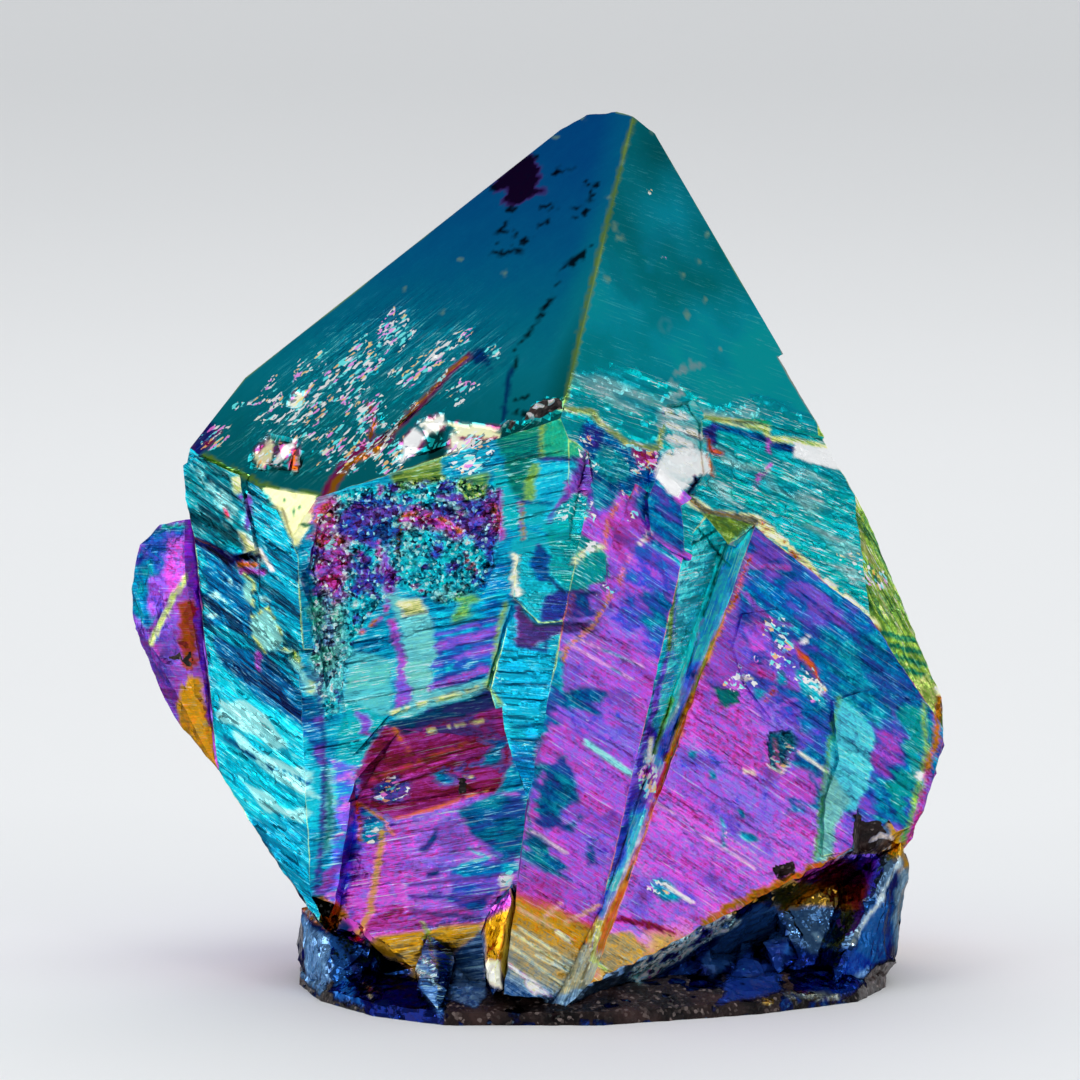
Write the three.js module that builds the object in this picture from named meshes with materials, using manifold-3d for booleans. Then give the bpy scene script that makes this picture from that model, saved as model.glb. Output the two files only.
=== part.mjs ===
// A coated amethyst point: one crystal with a ground tip, grown faces below it, a small crystal on
// its left side and a sawn foot that it stands on. Millimetres, +Z up, X to the right, -Y towards
// the front, origin in the middle of the sawn face.
import * as THREE from "three";
import { ConvexGeometry } from "three/addons/geometries/ConvexGeometry.js";
import { mergeVertices } from "three/addons/utils/BufferGeometryUtils.js";
import Module from "manifold-3d";

const wasm = await Module();
wasm.setup();

// ---- Sizes ----
const EYE_DISTANCE = 450; // the front drawing shows the crystal as seen from this far away
const EYE_TILT = THREE.MathUtils.degToRad(4); // looking down by this much
const EYE_TARGET = { x: -5.5, z: 44.3 }; // at this point above the foot
const SHEET_CENTRE = { across: -5.5, up: 43.9 }; // which lies here on the drawing
const BIG = 400; // side of the boxes that cut along a plane
const HEART = new THREE.Vector3(0, 0, 30); // a point deep inside the crystal
const ETCH_DEPTH = 0.8; // how far the grown part of the right tip face lies below the ground part
const STEP_DEPTH = 1.5; // growth step across the front left face
const CAP_HEIGHT = 1.0; // growth cap on the front edge
const CAP_UPPER_HEIGHT = 0.8; // its thinner upper part
const BED_DEPTH = 0.7; // bed of small crystals, sunk into the front left face
const CUT_IN = -4; // how deep the root of a growth plate reaches into the crystal
const CUT_OUT = 3; // how far a cut starts in front of a face

// ---- The front drawing ----
// A corner is given by its place on the drawing (millimetres across and up from the middle of the
// foot) and by how far behind the middle it lies.
function corner(across, up, behind) {
  const b = (up - SHEET_CENTRE.up) / EYE_DISTANCE;
  const cos = Math.cos(EYE_TILT);
  const sin = Math.sin(EYE_TILT);
  const rise = (b * EYE_DISTANCE + b * behind * cos - behind * sin) / (cos + b * sin);
  const reach = EYE_DISTANCE + behind * cos - rise * sin;
  const x = ((across - SHEET_CENTRE.across) * reach) / EYE_DISTANCE + EYE_TARGET.x;
  return new THREE.Vector3(x, behind, rise + EYE_TARGET.z);
}

const point = (x, y, z) => new THREE.Vector3(x, y, z);

const EYE = point(
  EYE_TARGET.x,
  -EYE_DISTANCE * Math.cos(EYE_TILT),
  EYE_TARGET.z + EYE_DISTANCE * Math.sin(EYE_TILT),
);

// A face is three points. This is its plane, turned so that the outside is on the plus side.
function planeOf(face, inside = HEART) {
  const plane = new THREE.Plane().setFromCoplanarPoints(...face);
  return plane.distanceToPoint(inside) > 0 ? plane.negate() : plane;
}

// Lines of sight: through a place on the front drawing, or square to the crystal from behind and
// from the right, where across is measured from the middle and up from the foot.
const fromFront = (across, up) =>
  new THREE.Ray(EYE, corner(across, up, 0).sub(EYE).normalize());
const fromBehind = (across, up) => new THREE.Ray(point(-across, BIG, up), point(0, -1, 0));
const fromRight = (across, up) => new THREE.Ray(point(BIG, across, up), point(-1, 0, 0));

// The place where a line of sight meets a face, lifted off the face by a distance.
function on(face, across, up, lift = 0, sight = fromFront) {
  const plane = planeOf(face);
  const place = sight(across, up).intersectPlane(plane, point(0, 0, 0));
  return place.addScaledVector(plane.normal, lift);
}

// The same face moved outwards.
const raised = (face, distance) =>
  face.map((p) => p.clone().addScaledVector(planeOf(face).normal, distance));

// A face that shows as a line on the drawing.
const edgeOn = (a, b) => [EYE, corner(a[0], a[1], 0), corner(b[0], b[1], 0)];

// ---- Solids ----
function solid(geometry) {
  const bare = geometry.index ? geometry.toNonIndexed() : geometry.clone();
  bare.deleteAttribute("normal");
  bare.deleteAttribute("uv");
  const merged = mergeVertices(bare, 1e-4);
  return new wasm.Manifold(
    new wasm.Mesh({
      numProp: 3,
      vertProperties: merged.attributes.position.array,
      triVerts: new Uint32Array(merged.index.array),
    }),
  );
}

const hull = (points) => solid(new ConvexGeometry(points));
const join = (solids) => solids.reduce((sum, next) => sum.add(next));

// Everything beyond a face, seen from a point that stays inside.
function beyond(face, inside = HEART) {
  const plane = planeOf(face, inside);
  const box = new THREE.BoxGeometry(BIG, BIG, BIG).translate(0, 0, BIG / 2);
  box.applyQuaternion(new THREE.Quaternion().setFromUnitVectors(point(0, 0, 1), plane.normal));
  const foot = plane.projectPoint(inside, point(0, 0, 0));
  return solid(box.translate(foot.x, foot.y, foot.z));
}

// A column: what is left of a large box when every face has been cut.
function column(faces, inside = HEART) {
  const box = solid(new THREE.BoxGeometry(BIG / 2, BIG / 2, BIG / 2));
  return faces.reduce((rest, face) => rest.subtract(beyond(face, inside)), box);
}

// A plate on a face: an outline given by lines of sight, between two heights off the face. Its
// back is wider than its front when its sides lean.
function plate(face, outline, low, high, lean = 0, sight = fromFront) {
  const shape = new THREE.Shape(outline.map(([a, u]) => new THREE.Vector2(a, u)));
  const middle = outline.reduce((m, [a, u]) => [m[0] + a, m[1] + u], [0, 0]);
  const [ma, mu] = middle.map((v) => v / outline.length);
  const geometry = new THREE.ExtrudeGeometry(shape, { depth: 1, bevelEnabled: false });
  const places = geometry.attributes.position;
  for (let i = 0; i < places.count; i++) {
    const out = Math.hypot(places.getX(i) - ma, places.getY(i) - mu);
    const grow = places.getZ(i) < 0.5 ? 1 + (lean * (high - low)) / out : 1;
    const across = ma + (places.getX(i) - ma) * grow;
    const up = mu + (places.getY(i) - mu) * grow;
    const p = on(face, across, up, places.getZ(i) < 0.5 ? low : high, sight);
    places.setXYZ(i, p.x, p.y, p.z);
  }
  return solid(geometry);
}

// ---- The ground tip ----
const ridgeTop = corner(3.7, 85.7, 0);
const ridgeFoot = corner(-3, 57.9, -22);
const tipLeft = [ridgeTop, ridgeFoot, corner(-38.2, 56.4, 5)];
const tipRight = [ridgeTop, ridgeFoot, corner(31, 37.9, -3)];
const tipBackLeft = [on(tipLeft, -3.5, 84.9), on(tipLeft, -35, 60.1), point(-7, 25, 56)];
const tipBackRight = [on(tipRight, 6, 84.5), on(tipRight, 25, 51.9), point(13, 25, 54)];
const tipCaps = [
  [on(tipLeft, -3.5, 84.9), on(tipLeft, -0.8, 86.4), point(-3, 7, 83.6)],
  [on(tipLeft, -0.8, 86.4), on(tipLeft, 2.2, 86.7), point(1, 6, 86.6)],
  [on(tipLeft, 2.2, 86.7), on(tipRight, 6, 84.5), point(5, 5, 84.4)],
];
const tip = [tipLeft, tipRight, tipBackLeft, tipBackRight, ...tipCaps];

// ---- The sides and the back, which the drawing does not show ----
const shoulderLeft = [on(tipLeft, -35, 60.1), corner(-40.8, 53.2, 3), point(-31, 22, 46)];
const backLeft = [point(-41, 9, 50), point(-29, 21, 45), point(-30, 15, 3)];
const back = [point(-20, 26, 50), point(14, 27, 40), point(4, 26, 2)];
const rim = [on(tipRight, 25, 51.9), on(tipRight, 33.5, 32.4), point(25, 23, 40)];
const sideRight = [corner(34.8, 28.9, -3), corner(34.8, 23.9, -3), point(33.5, 16, 26)];
const sideUnder = [corner(34.8, 23.9, -3), corner(32, 14.9, -4), point(31, 16, 16)];
const backRight = [point(29, 20, 36), point(15, 27.5, 40), point(26, 17, 2)];
const faceA = [on(tipLeft, -39, 52.2), on(tipLeft, -33.7, 49.2), corner(-27.3, 8.9, -13)];
const violet = [on(faceA, -40.7, 51), on(faceA, -37.7, 21), corner(-41.3, 50, 14)];
const under1 = [on(faceA, -37.7, 20.9), on(faceA, -33.3, 13.9), point(-32, 14, 16)];
const under2 = [on(faceA, -33.3, 13.9), on(faceA, -29.5, 8.4), point(-30, 14, 9)];
const sawn = [point(0, 0, 0), point(1, 0, 0), point(0, 1, 0)];
const outer = [
  ...tip, shoulderLeft, backLeft, back, backRight, rim, sideRight, sideUnder, sawn,
  faceA, violet, under1, under2,
];

// ---- The grown faces of the front ----
// They are lettered from left to right: A and B belong to the left column, C, D and D2 to the
// front column, E to the right one. Walls are the narrow faces where one column steps back to the
// next, and an end is where a column broke from its bed.
const etched = raised(tipRight, -ETCH_DEPTH);
const faceE = [on(etched, 16, 45.2), corner(0.5, 1.9, -24.2), on(etched, 31, 33.4)];
const wallE = [on(faceE, 16, 45.2), on(faceE, 0.5, 1.9), corner(10.5, 36.7, -13)];
const lime = [on(faceE, 28, 35.4), on(faceE, 33, 27.9), corner(34.8, 29.5, -0.5)];
const faceD = [corner(0.5, 54.9, -22.3), corner(9.5, 48.4, -17.9), corner(-8, 7.4, -26.3)];
const faceD2 = [on(faceD, 8.5, 40.9), on(faceD, 1, 8.4), corner(10.5, 36.7, -13)];
const faceC = [on(faceD, -3.5, 33.9), on(faceD, -6.7, 17.9), corner(-10.5, 28.9, -21.5)];
const wallC = [on(faceC, -10.5, 28.9), on(faceC, -6.7, 17.9), corner(-10.5, 28.9, -10)];
const wallCTop = [on(faceC, -10.5, 28.9), on(faceC, -8, 37.9), corner(-10.5, 28.9, -10)];
const wallD = [on(faceD, -6.7, 17.9), on(faceD, -8, 7.4), corner(-7, 17.9, -10)];
const faceB = [on(tipLeft, -27.7, 48.2), on(tipLeft, -5, 55.5), corner(-27, 20, -12.2)];
const cornerAB = [on(tipLeft, -33.7, 49.2), on(tipLeft, -27.7, 48.2), on(faceA, -29.2, 42.9)];

// The bright corner that closes the valley between the two right-hand columns.
const valleyTop = hull([
  on(etched, 10.6, 46.8), on(etched, 15.9, 45.3), corner(13.4, 43.4, -14.4),
  on(etched, 8.5, 53), on(etched, 19, 54), point(9, -4, 44), point(17, 0, 43), point(14, 4, 54),
]);

// Their lower ends, where the crystal broke from its bed.
const endE = [on(faceE, 2, 0.7), on(faceE, 25.5, 12.9), corner(12, 3.9, -14)];
const endD = [on(faceD, -10.5, -1.4), on(faceD, 0.5, -2.6), point(-4, -12, 5)];
const endD2 = [on(faceD, 0.5, -2.6), on(faceD, 2.6, 0.2), point(0, -12, 7)];
const endB = [on(faceB, -25, 5.2), on(faceB, -17, -0.6), point(-16, -10, 4)];

const columnE = column([faceE, wallE, lime, endE, ...outer], point(16, 0, 30));
const columnD = column(
  [faceC, wallC, wallCTop, faceD, faceD2, endD, endD2, ...outer], point(-2, -8, 35),
);
const columnDLow = column(
  [faceC, wallD, faceD, faceD2, endD, endD2, ...outer], point(0, -10, 25),
);
const columnB = column(
  [faceB, cornerAB, faceD, faceD2, endB, ...outer], point(-20, 0, 30),
);

// ---- The growth cap on the front edge ----
const cap = column(
  [
    raised(faceC, CAP_HEIGHT), raised(faceD, CAP_HEIGHT),
    edgeOn([-8.2, 38.2], [-5.7, 35.6]), edgeOn([-5.7, 35.6], [0.5, 35.8]),
    edgeOn([0.5, 35.8], [1.7, 37.9]), edgeOn([1.7, 37.9], [1.0, 42]),
    edgeOn([-8.2, 38.2], [-7.2, 46]), ...outer,
  ],
  point(-3, -18, 42),
);
const capUpper = column(
  [
    raised(faceC, CAP_UPPER_HEIGHT), raised(faceD, CAP_UPPER_HEIGHT),
    edgeOn([-5.5, 41], [1, 41.9]),
    edgeOn([1, 41.9], [4.5, 50.8]), edgeOn([-7.2, 44], [-5.8, 54]), ...outer,
  ],
  point(-2, -17, 48),
);

// ---- Growth plates, standing a little off the faces they grew on ----
const plates = [
  plate(faceA, [
    [-40.6, 51.4], [-39.2, 52.3], [-35, 50.4], [-34.5, 47.9], [-33.4, 42.9], [-35.5, 42.3],
    [-39.4, 44.1], [-40.3, 47.9],
  ], CUT_IN, 0.7, 0.1),
  plate(faceA, [
    [-34.4, 48.7], [-31.5, 46.9], [-29.4, 42.4], [-28.8, 33], [-31, 32.4], [-33.3, 35.9],
    [-33.2, 42.7],
  ], CUT_IN, 0.45, 0.1),
  plate(faceB, [
    [-25.5, 32.4], [-21.5, 32.9], [-16.3, 35.9], [-8.2, 37.4], [-9.5, 33.4], [-10.6, 29.2],
    [-15.5, 27.9], [-20.5, 26.4], [-24, 22.4],
  ], CUT_IN, 0.5, 0.1),
  plate(faceD, [
    [5.3, 44.4], [5, 48], [6.2, 51.2], [8.5, 49], [10.9, 46.8], [10, 44.9], [9.3, 41.9],
    [7.4, 42.8],
  ], CUT_IN, 0.6, 0.1),
  plate(faceE, [
    [23.5, 27.8], [27.5, 28.9], [32.6, 27.6], [33.4, 22.9], [31.6, 15.4], [26.5, 13.2],
    [22.5, 12.4], [22.8, 17.9], [24.2, 21.9],
  ], CUT_IN, 0.45, 0.1),
  plate(faceE, [
    [14.6, 36.5], [18.2, 36.9], [21.5, 35], [23.2, 31.5], [22, 27], [17.5, 26], [15, 29.4],
    [13.6, 33],
  ], CUT_IN, 0.3, 0.1),
];

// The same on the faces at the back and on the right.
const backPlates = [
  plate(back, [
    [17, 44], [6, 46], [-3, 41], [-4, 30], [0, 17], [9, 12], [15, 22], [18, 33],
  ], CUT_IN, 0.7, 0.2, fromBehind),
  plate(back, [
    [13, 39], [5, 41], [1, 36], [2, 26], [8, 22], [12, 28],
  ], CUT_IN, 1.2, 0.2, fromBehind),
  plate(back, [
    [-7, 33], [-13, 31], [-14, 18], [-9, 9], [-5, 12], [-6, 22],
  ], CUT_IN, 0.6, 0.2, fromBehind),
  plate(backLeft, [
    [34.5, 44], [27.5, 42], [26.5, 26], [29, 20], [33, 24],
  ], CUT_IN, 0.7, 0.2, fromBehind),
  plate(backRight, [
    [-19, 36], [-25, 33], [-26.5, 22], [-23, 11], [-19.5, 14], [-18, 26],
  ], CUT_IN, 0.7, 0.2, fromBehind),
  plate(sideRight, [
    [5, 26], [11, 27], [14, 23], [12, 19], [7, 19],
  ], CUT_IN, 0.3, 0.1, fromRight),
];

// ---- Hollows ----
const brokenEdge = [
  [-27.2, 6.4], [-24.9, 5.7], [-23.3, 3.6], [-21, 2.2], [-18.6, 0.5], [-16.8, -2],
];
const hollows = [
  // the grown and etched part of the right tip face, which the grinding did not reach
  plate(tipRight, [
    [11, 56.4], [17, 55.9], [23.5, 54.1], [26, 53.4], [40, 50], [42, 22], [33.6, 29],
    [28, 32.5], [20, 38], [14, 38], [10, 42], [8, 47], [12, 50.5],
  ], -ETCH_DEPTH, CUT_OUT),
  plate(tipRight, [
    [7.2, 57.5], [9.8, 57.9], [11.2, 56], [11.6, 51], [10, 49], [7.5, 50.5], [6.2, 52.5],
  ], -1.5 * ETCH_DEPTH, CUT_OUT),
  // the growth step across the front left face
  plate(faceB, [
    [-24.4, 17.9], [-9.5, 21.9], [-8, 23.9], [-7.5, 20], [-6.2, 17.9], [-6.5, 10], [-6.5, -6],
    [-27, -6], [-26.5, 4.5], [-25.6, 10],
  ], -STEP_DEPTH, CUT_OUT),
  hull([
    on(faceB, -19.5, 24.9, 0.05), on(faceB, -8.5, 27.4, 0.05), on(faceB, -24, 19.9, 0.05),
    on(faceB, -24.6, 17.7, -STEP_DEPTH), on(faceB, -9.5, 21.6, -STEP_DEPTH),
    on(faceB, -7.9, 23.7, -STEP_DEPTH), on(faceB, -19.5, 24.9, 3), on(faceB, -8.5, 27.4, 3),
    on(faceB, -24, 19.9, 3), on(faceB, -24.6, 17.7, 3), on(faceB, -9.5, 21.6, 3),
    on(faceB, -7.9, 23.7, 3),
  ]),
  // the bed of small crystals on the upper part of the same face
  plate(faceB, [
    [-27.7, 45.9], [-25.5, 47.9], [-19.5, 47.4], [-12.5, 47.9], [-9.5, 48.9], [-9.6, 41.9],
    [-11.5, 37.9], [-19.5, 35.9], [-21.5, 33.9], [-25.5, 31.4], [-27, 28.9], [-27.7, 33.9],
    [-29, 39.9],
  ], -BED_DEPTH, CUT_OUT),
  // the broken lower end of the same face, which slopes in under it
  hull([
    ...brokenEdge.map(([across, up]) => on(faceB, across, up, CUT_OUT)),
    ...brokenEdge.map(([across, up]) => on(faceB, across, up, -STEP_DEPTH - 0.5)),
    on(faceB, -18, -8, CUT_OUT), on(faceB, -30, -8, CUT_OUT), on(faceB, -18, -8, -8),
    on(faceB, -30, -8, -8),
  ]),
  // flakes missing from the lower part of the left tip face
  hull([
    on(tipLeft, -34.4, 52.2, 0.3), on(tipLeft, -32, 54.2, 0.3), on(tipLeft, -29.6, 53.2, 0.3),
    on(tipLeft, -30, 50.6, 0.3), on(tipLeft, -32.5, 50.8, 0.3), on(tipLeft, -31.2, 51.4, -0.8),
  ]),
  hull([
    on(tipLeft, -19.6, 54, 0.3), on(tipLeft, -17.6, 56.2, 0.3), on(tipLeft, -14.8, 56, 0.3),
    on(tipLeft, -13.5, 53.6, 0.3), on(tipLeft, -16, 52.3, 0.3), on(tipLeft, -19.5, 51.6, 0.3),
    on(tipLeft, -17, 53.5, -1),
  ]),
  hull([
    on(tipLeft, -27, 51.4, 0.3), on(tipLeft, -23, 56.6, 0.3), on(tipLeft, -12.6, 61.6, 0.3),
    on(tipLeft, -12.2, 60.7, 0.3), on(tipLeft, -21, 54.4, 0.3), on(tipLeft, -25.6, 49.6, 0.3),
    on(tipLeft, -21.5, 55, -0.7),
  ]),
  // chips above the broken edge on the right
  hull([
    on(faceE, 25.3, 12, 0.5), on(faceE, 26, 17.2, 0.5), on(faceE, 27.2, 16, 0.5),
    on(faceE, 29.2, 16, 0.5), on(faceE, 30.5, 13.4, 0.5), on(faceE, 29, 11, 0.5),
    on(faceE, 28, 13, -2.5),
  ]),
  hull([
    on(faceE, 17.8, 10, 0.3), on(faceE, 18.4, 11.7, 0.3), on(faceE, 19.3, 10.5, 0.3),
    on(faceE, 20, 11.5, 0.3), on(faceE, 20.4, 10.6, 0.3), on(faceE, 19, 9.4, 0.3),
    on(faceE, 19, 10.4, -0.9),
  ]),
];

// The parts of the back tip faces that the grinding did not reach, and chips on their edges.
const backHollows = [
  plate(tipBackLeft, [
    [31, 58], [24, 57], [17, 59.5], [9, 56], [3, 57.5], [-4, 52], [-8, 40], [12, 38],
    [34, 44], [38, 50],
  ], -ETCH_DEPTH, CUT_OUT, 0, fromBehind),
  plate(tipBackRight, [
    [-8, 64], [-14, 61], [-19, 63], [-24, 56], [-34, 50], [-36, 30], [-12, 38], [-7, 52],
  ], -ETCH_DEPTH, CUT_OUT, 0, fromBehind),
  hull([
    on(tipBackLeft, 20, 63, 0.3, fromBehind), on(tipBackLeft, 16, 66, 0.3, fromBehind),
    on(tipBackLeft, 12, 64, 0.3, fromBehind), on(tipBackLeft, 15, 61, 0.3, fromBehind),
    on(tipBackLeft, 15.5, 63.5, -0.9, fromBehind),
  ]),
  hull([
    point(-21, 27, 8), point(-10, 29, 10), point(-6, 29, 3), point(-8, 29, -3),
    point(-22, 28, -3), point(-14, 21, 1), point(-12, 23, 7),
  ]),
];

// ---- The foot ----
const footRing = [
  [-29.5, -3.4], [-27, -13], [-21.5, -21.5], [-14.5, -26.5], [0.5, -26.5], [15.5, -20.5],
  [25.5, -13.5], [29, -5], [29.5, 6], [26, 17], [12, 25], [-10, 25.5], [-24, 19], [-30, 9],
];
const footBlock = join([
  // the sawn rim
  hull([
    ...footRing.map(([x, y]) => point(x, y, 0)),
    ...footRing.map(([x, y]) => point(x * 0.995, y * 0.99, 1.2)),
    ...footRing.map(([x, y]) => point(x * 0.95, y > 0 ? y * 0.97 : y * 0.8, 2.8)),
  ]),
  // the rough rock inside it
  hull([
    ...footRing.map(([x, y]) => point(x * 0.95, y > 0 ? y : y * 0.7, 1)),
    ...footRing.map(([x, y]) => point(x * 0.9 - 0.5, y > 0 ? y : y * 0.4, 9)),
    ...footRing.map(([x, y]) => point(x * 0.8, y > 0 ? y : y * 0.2, 20)),
  ]),
]);

// Shells broken out of the rough rock.
const footShells = [
  hull([
    corner(10, 5, -19), corner(14, 8.2, -18), corner(19.5, 8.6, -16), corner(21, 3, -17),
    corner(18, 0, -19), corner(11, -0.2, -21), point(12, -6, 5), point(17, -3.5, 7),
    point(17.5, -6, 3.4),
  ]),
  hull([
    corner(-25.5, 4.5, -19), corner(-19, 2.5, -21), corner(-17.5, -1, -22),
    corner(-22.5, -1.6, -21), point(-21, -5, 5.5), point(-17.5, -8, 5), point(-20.5, -8, 3.4),
  ]),
];

const footParts = [
  // a lobe at the left
  hull([
    corner(-29.3, 7.2, -3), corner(-26.3, 6, -8), corner(-26.5, 0, -13), corner(-29, 0, -6),
    corner(-24.5, -2.6, -14.5), corner(-27, -1.6, -12), point(-30, 6, 3), point(-20, 2, 1),
    point(-20, 0, 10), corner(-22.5, 3, -12),
  ]),
  // a tooth under the front left face
  hull([
    corner(-17.3, 2.4, -20.5), corner(-14, 1.7, -20.5), corner(-17.7, -0.6, -23.2),
    corner(-15.5, -3.3, -25.5), corner(-15.8, -0.6, -24.8), point(-18, -10, 2),
    point(-14, -10, 2), point(-16, -10, 8),
  ]),
  // the spur beside the foot of the front edge
  hull([
    on(faceD, -8.3, 9.1), on(faceD, -9.5, 3.4), on(faceD, -10.3, -1.6), corner(-10.8, 6.4, -23.6),
    corner(-11.3, 4.4, -23.4), corner(-11, 0.9, -24), point(-10, -14, 2), point(-6, -14, 2),
    point(-8, -14, 12),
  ]),
  // small crystals in the hollow under the right face
  hull([
    corner(12.8, -1.8, -17.5), corner(14.3, 1.9, -13), corner(15.8, 2.4, -12),
    corner(17, 0.2, -14.5), corner(15.5, -1.4, -18), point(13, -4, 1), point(17, -4, 1),
    point(15, -4, 6),
  ]),
  hull([
    corner(17, 3.5, -12), corner(19.3, 4.1, -10.5), corner(20.3, 2.2, -11.5),
    corner(18.5, 0.6, -13.5), point(17, -4, 2), point(21, -4, 2), point(19, -4, 7),
  ]),
  // the strip that closes the hollow at the right
  hull([
    corner(30.6, 13.6, -3), corner(28.6, 10.4, -6.5), corner(26.6, 5.9, -9.5),
    corner(24.7, 1.9, -12), corner(23.2, -2.1, -14), corner(31.2, 12, 0), corner(30.9, 8.9, 1),
    corner(30.4, 4.9, 1), corner(30, 2.6, 0.5), corner(28.8, -0.2, -4), point(28, 14, 14),
    point(27, 12, 1), point(20, 8, 14), corner(26.5, -2.2, -10.5),
  ]),
];

// ---- The small crystal on the left side ----
const sideCrystal = hull([
  corner(-41, 45.9, 5), corner(-43.5, 45.4, 8), corner(-45.5, 43.4, 9), corner(-46.3, 39.4, 10),
  corner(-46.2, 35.9, 10), corner(-45, 32.9, 10), corner(-43, 27.9, 10), corner(-41.5, 25.4, 9),
  corner(-39, 23.4, 7), corner(-37.7, 20.9, 4), corner(-41, 40.4, 3.5), corner(-43, 37.4, 5),
  corner(-44.5, 33.4, 7), corner(-40, 28, 4), point(-34, 8, 46), point(-34, 19, 42),
  point(-31, 12, 20), point(-36, 18, 30),
]);

const grown = join([
  columnE, columnD, columnDLow, columnB, valleyTop, cap, capUpper, ...plates, ...backPlates,
]).subtract(join([...hollows, ...backHollows]));
const crystal = join([grown, footBlock.subtract(join(footShells)), ...footParts, sideCrystal])
  .subtract(beyond(sawn));

const group = new THREE.Group();
const skin = crystal.getMesh();
const shape = new THREE.BufferGeometry();
const places = new Float32Array(skin.numVert * 3);
for (let i = 0; i < skin.numVert; i++) {
  places.set(skin.vertProperties.subarray(i * skin.numProp, i * skin.numProp + 3), i * 3);
}
shape.setAttribute("position", new THREE.BufferAttribute(places, 3));
shape.setIndex(new THREE.BufferAttribute(skin.triVerts, 1));
const coated = new THREE.MeshStandardMaterial({ color: 0x14808c, roughness: 0.25, metalness: 1 });
const mesh = new THREE.Mesh(shape, coated);
mesh.name = "crystal_point";
group.add(mesh);

export default group;
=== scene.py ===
# A coated amethyst point: one crystal of quartz under a film of titanium, thinner than a hair, whose
# thickness gives the colours. Metres in the scene, millimetres in the working arrays, +Z up, -Y front.
import math

import bmesh
import bpy
import numpy as np
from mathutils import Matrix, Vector
from mathutils.geometry import delaunay_2d_cdt


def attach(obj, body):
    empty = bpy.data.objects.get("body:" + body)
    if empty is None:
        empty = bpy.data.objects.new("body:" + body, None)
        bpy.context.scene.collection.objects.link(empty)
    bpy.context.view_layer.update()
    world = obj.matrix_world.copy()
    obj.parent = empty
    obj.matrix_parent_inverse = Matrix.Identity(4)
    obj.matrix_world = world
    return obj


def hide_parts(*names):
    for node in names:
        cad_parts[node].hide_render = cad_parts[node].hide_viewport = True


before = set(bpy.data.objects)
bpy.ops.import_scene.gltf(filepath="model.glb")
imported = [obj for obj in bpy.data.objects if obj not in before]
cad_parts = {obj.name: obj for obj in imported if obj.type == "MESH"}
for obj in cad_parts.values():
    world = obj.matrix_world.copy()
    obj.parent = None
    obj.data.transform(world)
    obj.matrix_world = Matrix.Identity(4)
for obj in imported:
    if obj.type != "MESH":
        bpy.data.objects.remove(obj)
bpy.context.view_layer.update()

MM = 0.001

# ---- Camera ----
# A long lens, almost level with the crystal, in front of it. The front drawing used below is what
# this camera sees: millimetres across and up from the middle of the foot.
EYE_DISTANCE = 450.0
EYE_TILT = math.radians(4)
EYE_TARGET = np.array([-5.5, 0.0, 44.3])
SHEET_CENTRE = (-5.5, 43.9)
LENS = 150.0
SENSOR = 36.0

forward = np.array([0.0, math.cos(EYE_TILT), -math.sin(EYE_TILT)])
rightward = np.array([1.0, 0.0, 0.0])
upward = np.cross(rightward, forward)
eye = EYE_TARGET - EYE_DISTANCE * forward

camera = bpy.data.objects.new("camera", bpy.data.cameras.new("camera"))
camera.location = Vector(eye * MM)
camera.rotation_euler = (math.pi / 2 - EYE_TILT, 0, 0)
camera.data.lens = LENS
camera.data.sensor_width = SENSOR
camera.data.clip_start = 0.01
bpy.context.scene.collection.objects.link(camera)
bpy.context.scene.camera = camera


def on_drawing(p):
    """Where points lie on the front drawing: their offsets from the eye to the right and upwards,
    divided by their distance along the line of view."""
    ray = p - eye
    reach = EYE_DISTANCE / (ray @ forward)
    return ray @ rightward * reach + SHEET_CENTRE[0], ray @ upward * reach + SHEET_CENTRE[1]


# ---- Studio ----
# A pale matt table top that bends up into a backdrop, and a pale room that the coating sees only
# dimly. Soft boxes stand at the left, at the right, above and behind; two small lamps make glints.
FLOOR_FRONT = 3.0
FLOOR_BEHIND = 0.6
BEND_RADIUS = 2.4
WALL_TOP = 4.0
WALL_HALF = 3.5


def add(tree, kind, *ordered, props=None, **named):
    """Adds a shader node and returns it. Inputs come in order or by name, and each is a value or
    another node's output."""
    node = tree.nodes.new("ShaderNode" + kind)
    for key, value in (props or {}).items():
        setattr(node, key, value)
    wanted = list(enumerate(ordered)) + [(key.replace("_", " "), v) for key, v in named.items()]
    for key, value in wanted:
        if value is None:
            continue
        if isinstance(value, bpy.types.NodeSocket):
            tree.links.new(value, node.inputs[key])
        else:
            node.inputs[key].default_value = value
    return node


def softbox(name, azimuth, height, distance, size, radiance, tint=(1, 1, 1), aim=(0, 0, 0.04)):
    """A rectangular light on a circle around the crystal, turned to face it. Azimuth 0 is at the
    front and grows to the right; its power is radiance times area times pi."""
    light = bpy.data.lights.new(name, "AREA")
    light.shape = "RECTANGLE"
    light.size, light.size_y = size
    light.energy = radiance * size[0] * size[1] * math.pi
    light.color = tint
    box = bpy.data.objects.new(name, light)
    a, h = math.radians(azimuth), math.radians(height)
    direction = Vector((math.sin(a) * math.cos(h), -math.cos(a) * math.cos(h), math.sin(h)))
    box.location = Vector(aim) + direction * distance
    box.rotation_euler = direction.to_track_quat("Z", "Y").to_euler()
    bpy.context.scene.collection.objects.link(box)
    return box


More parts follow.
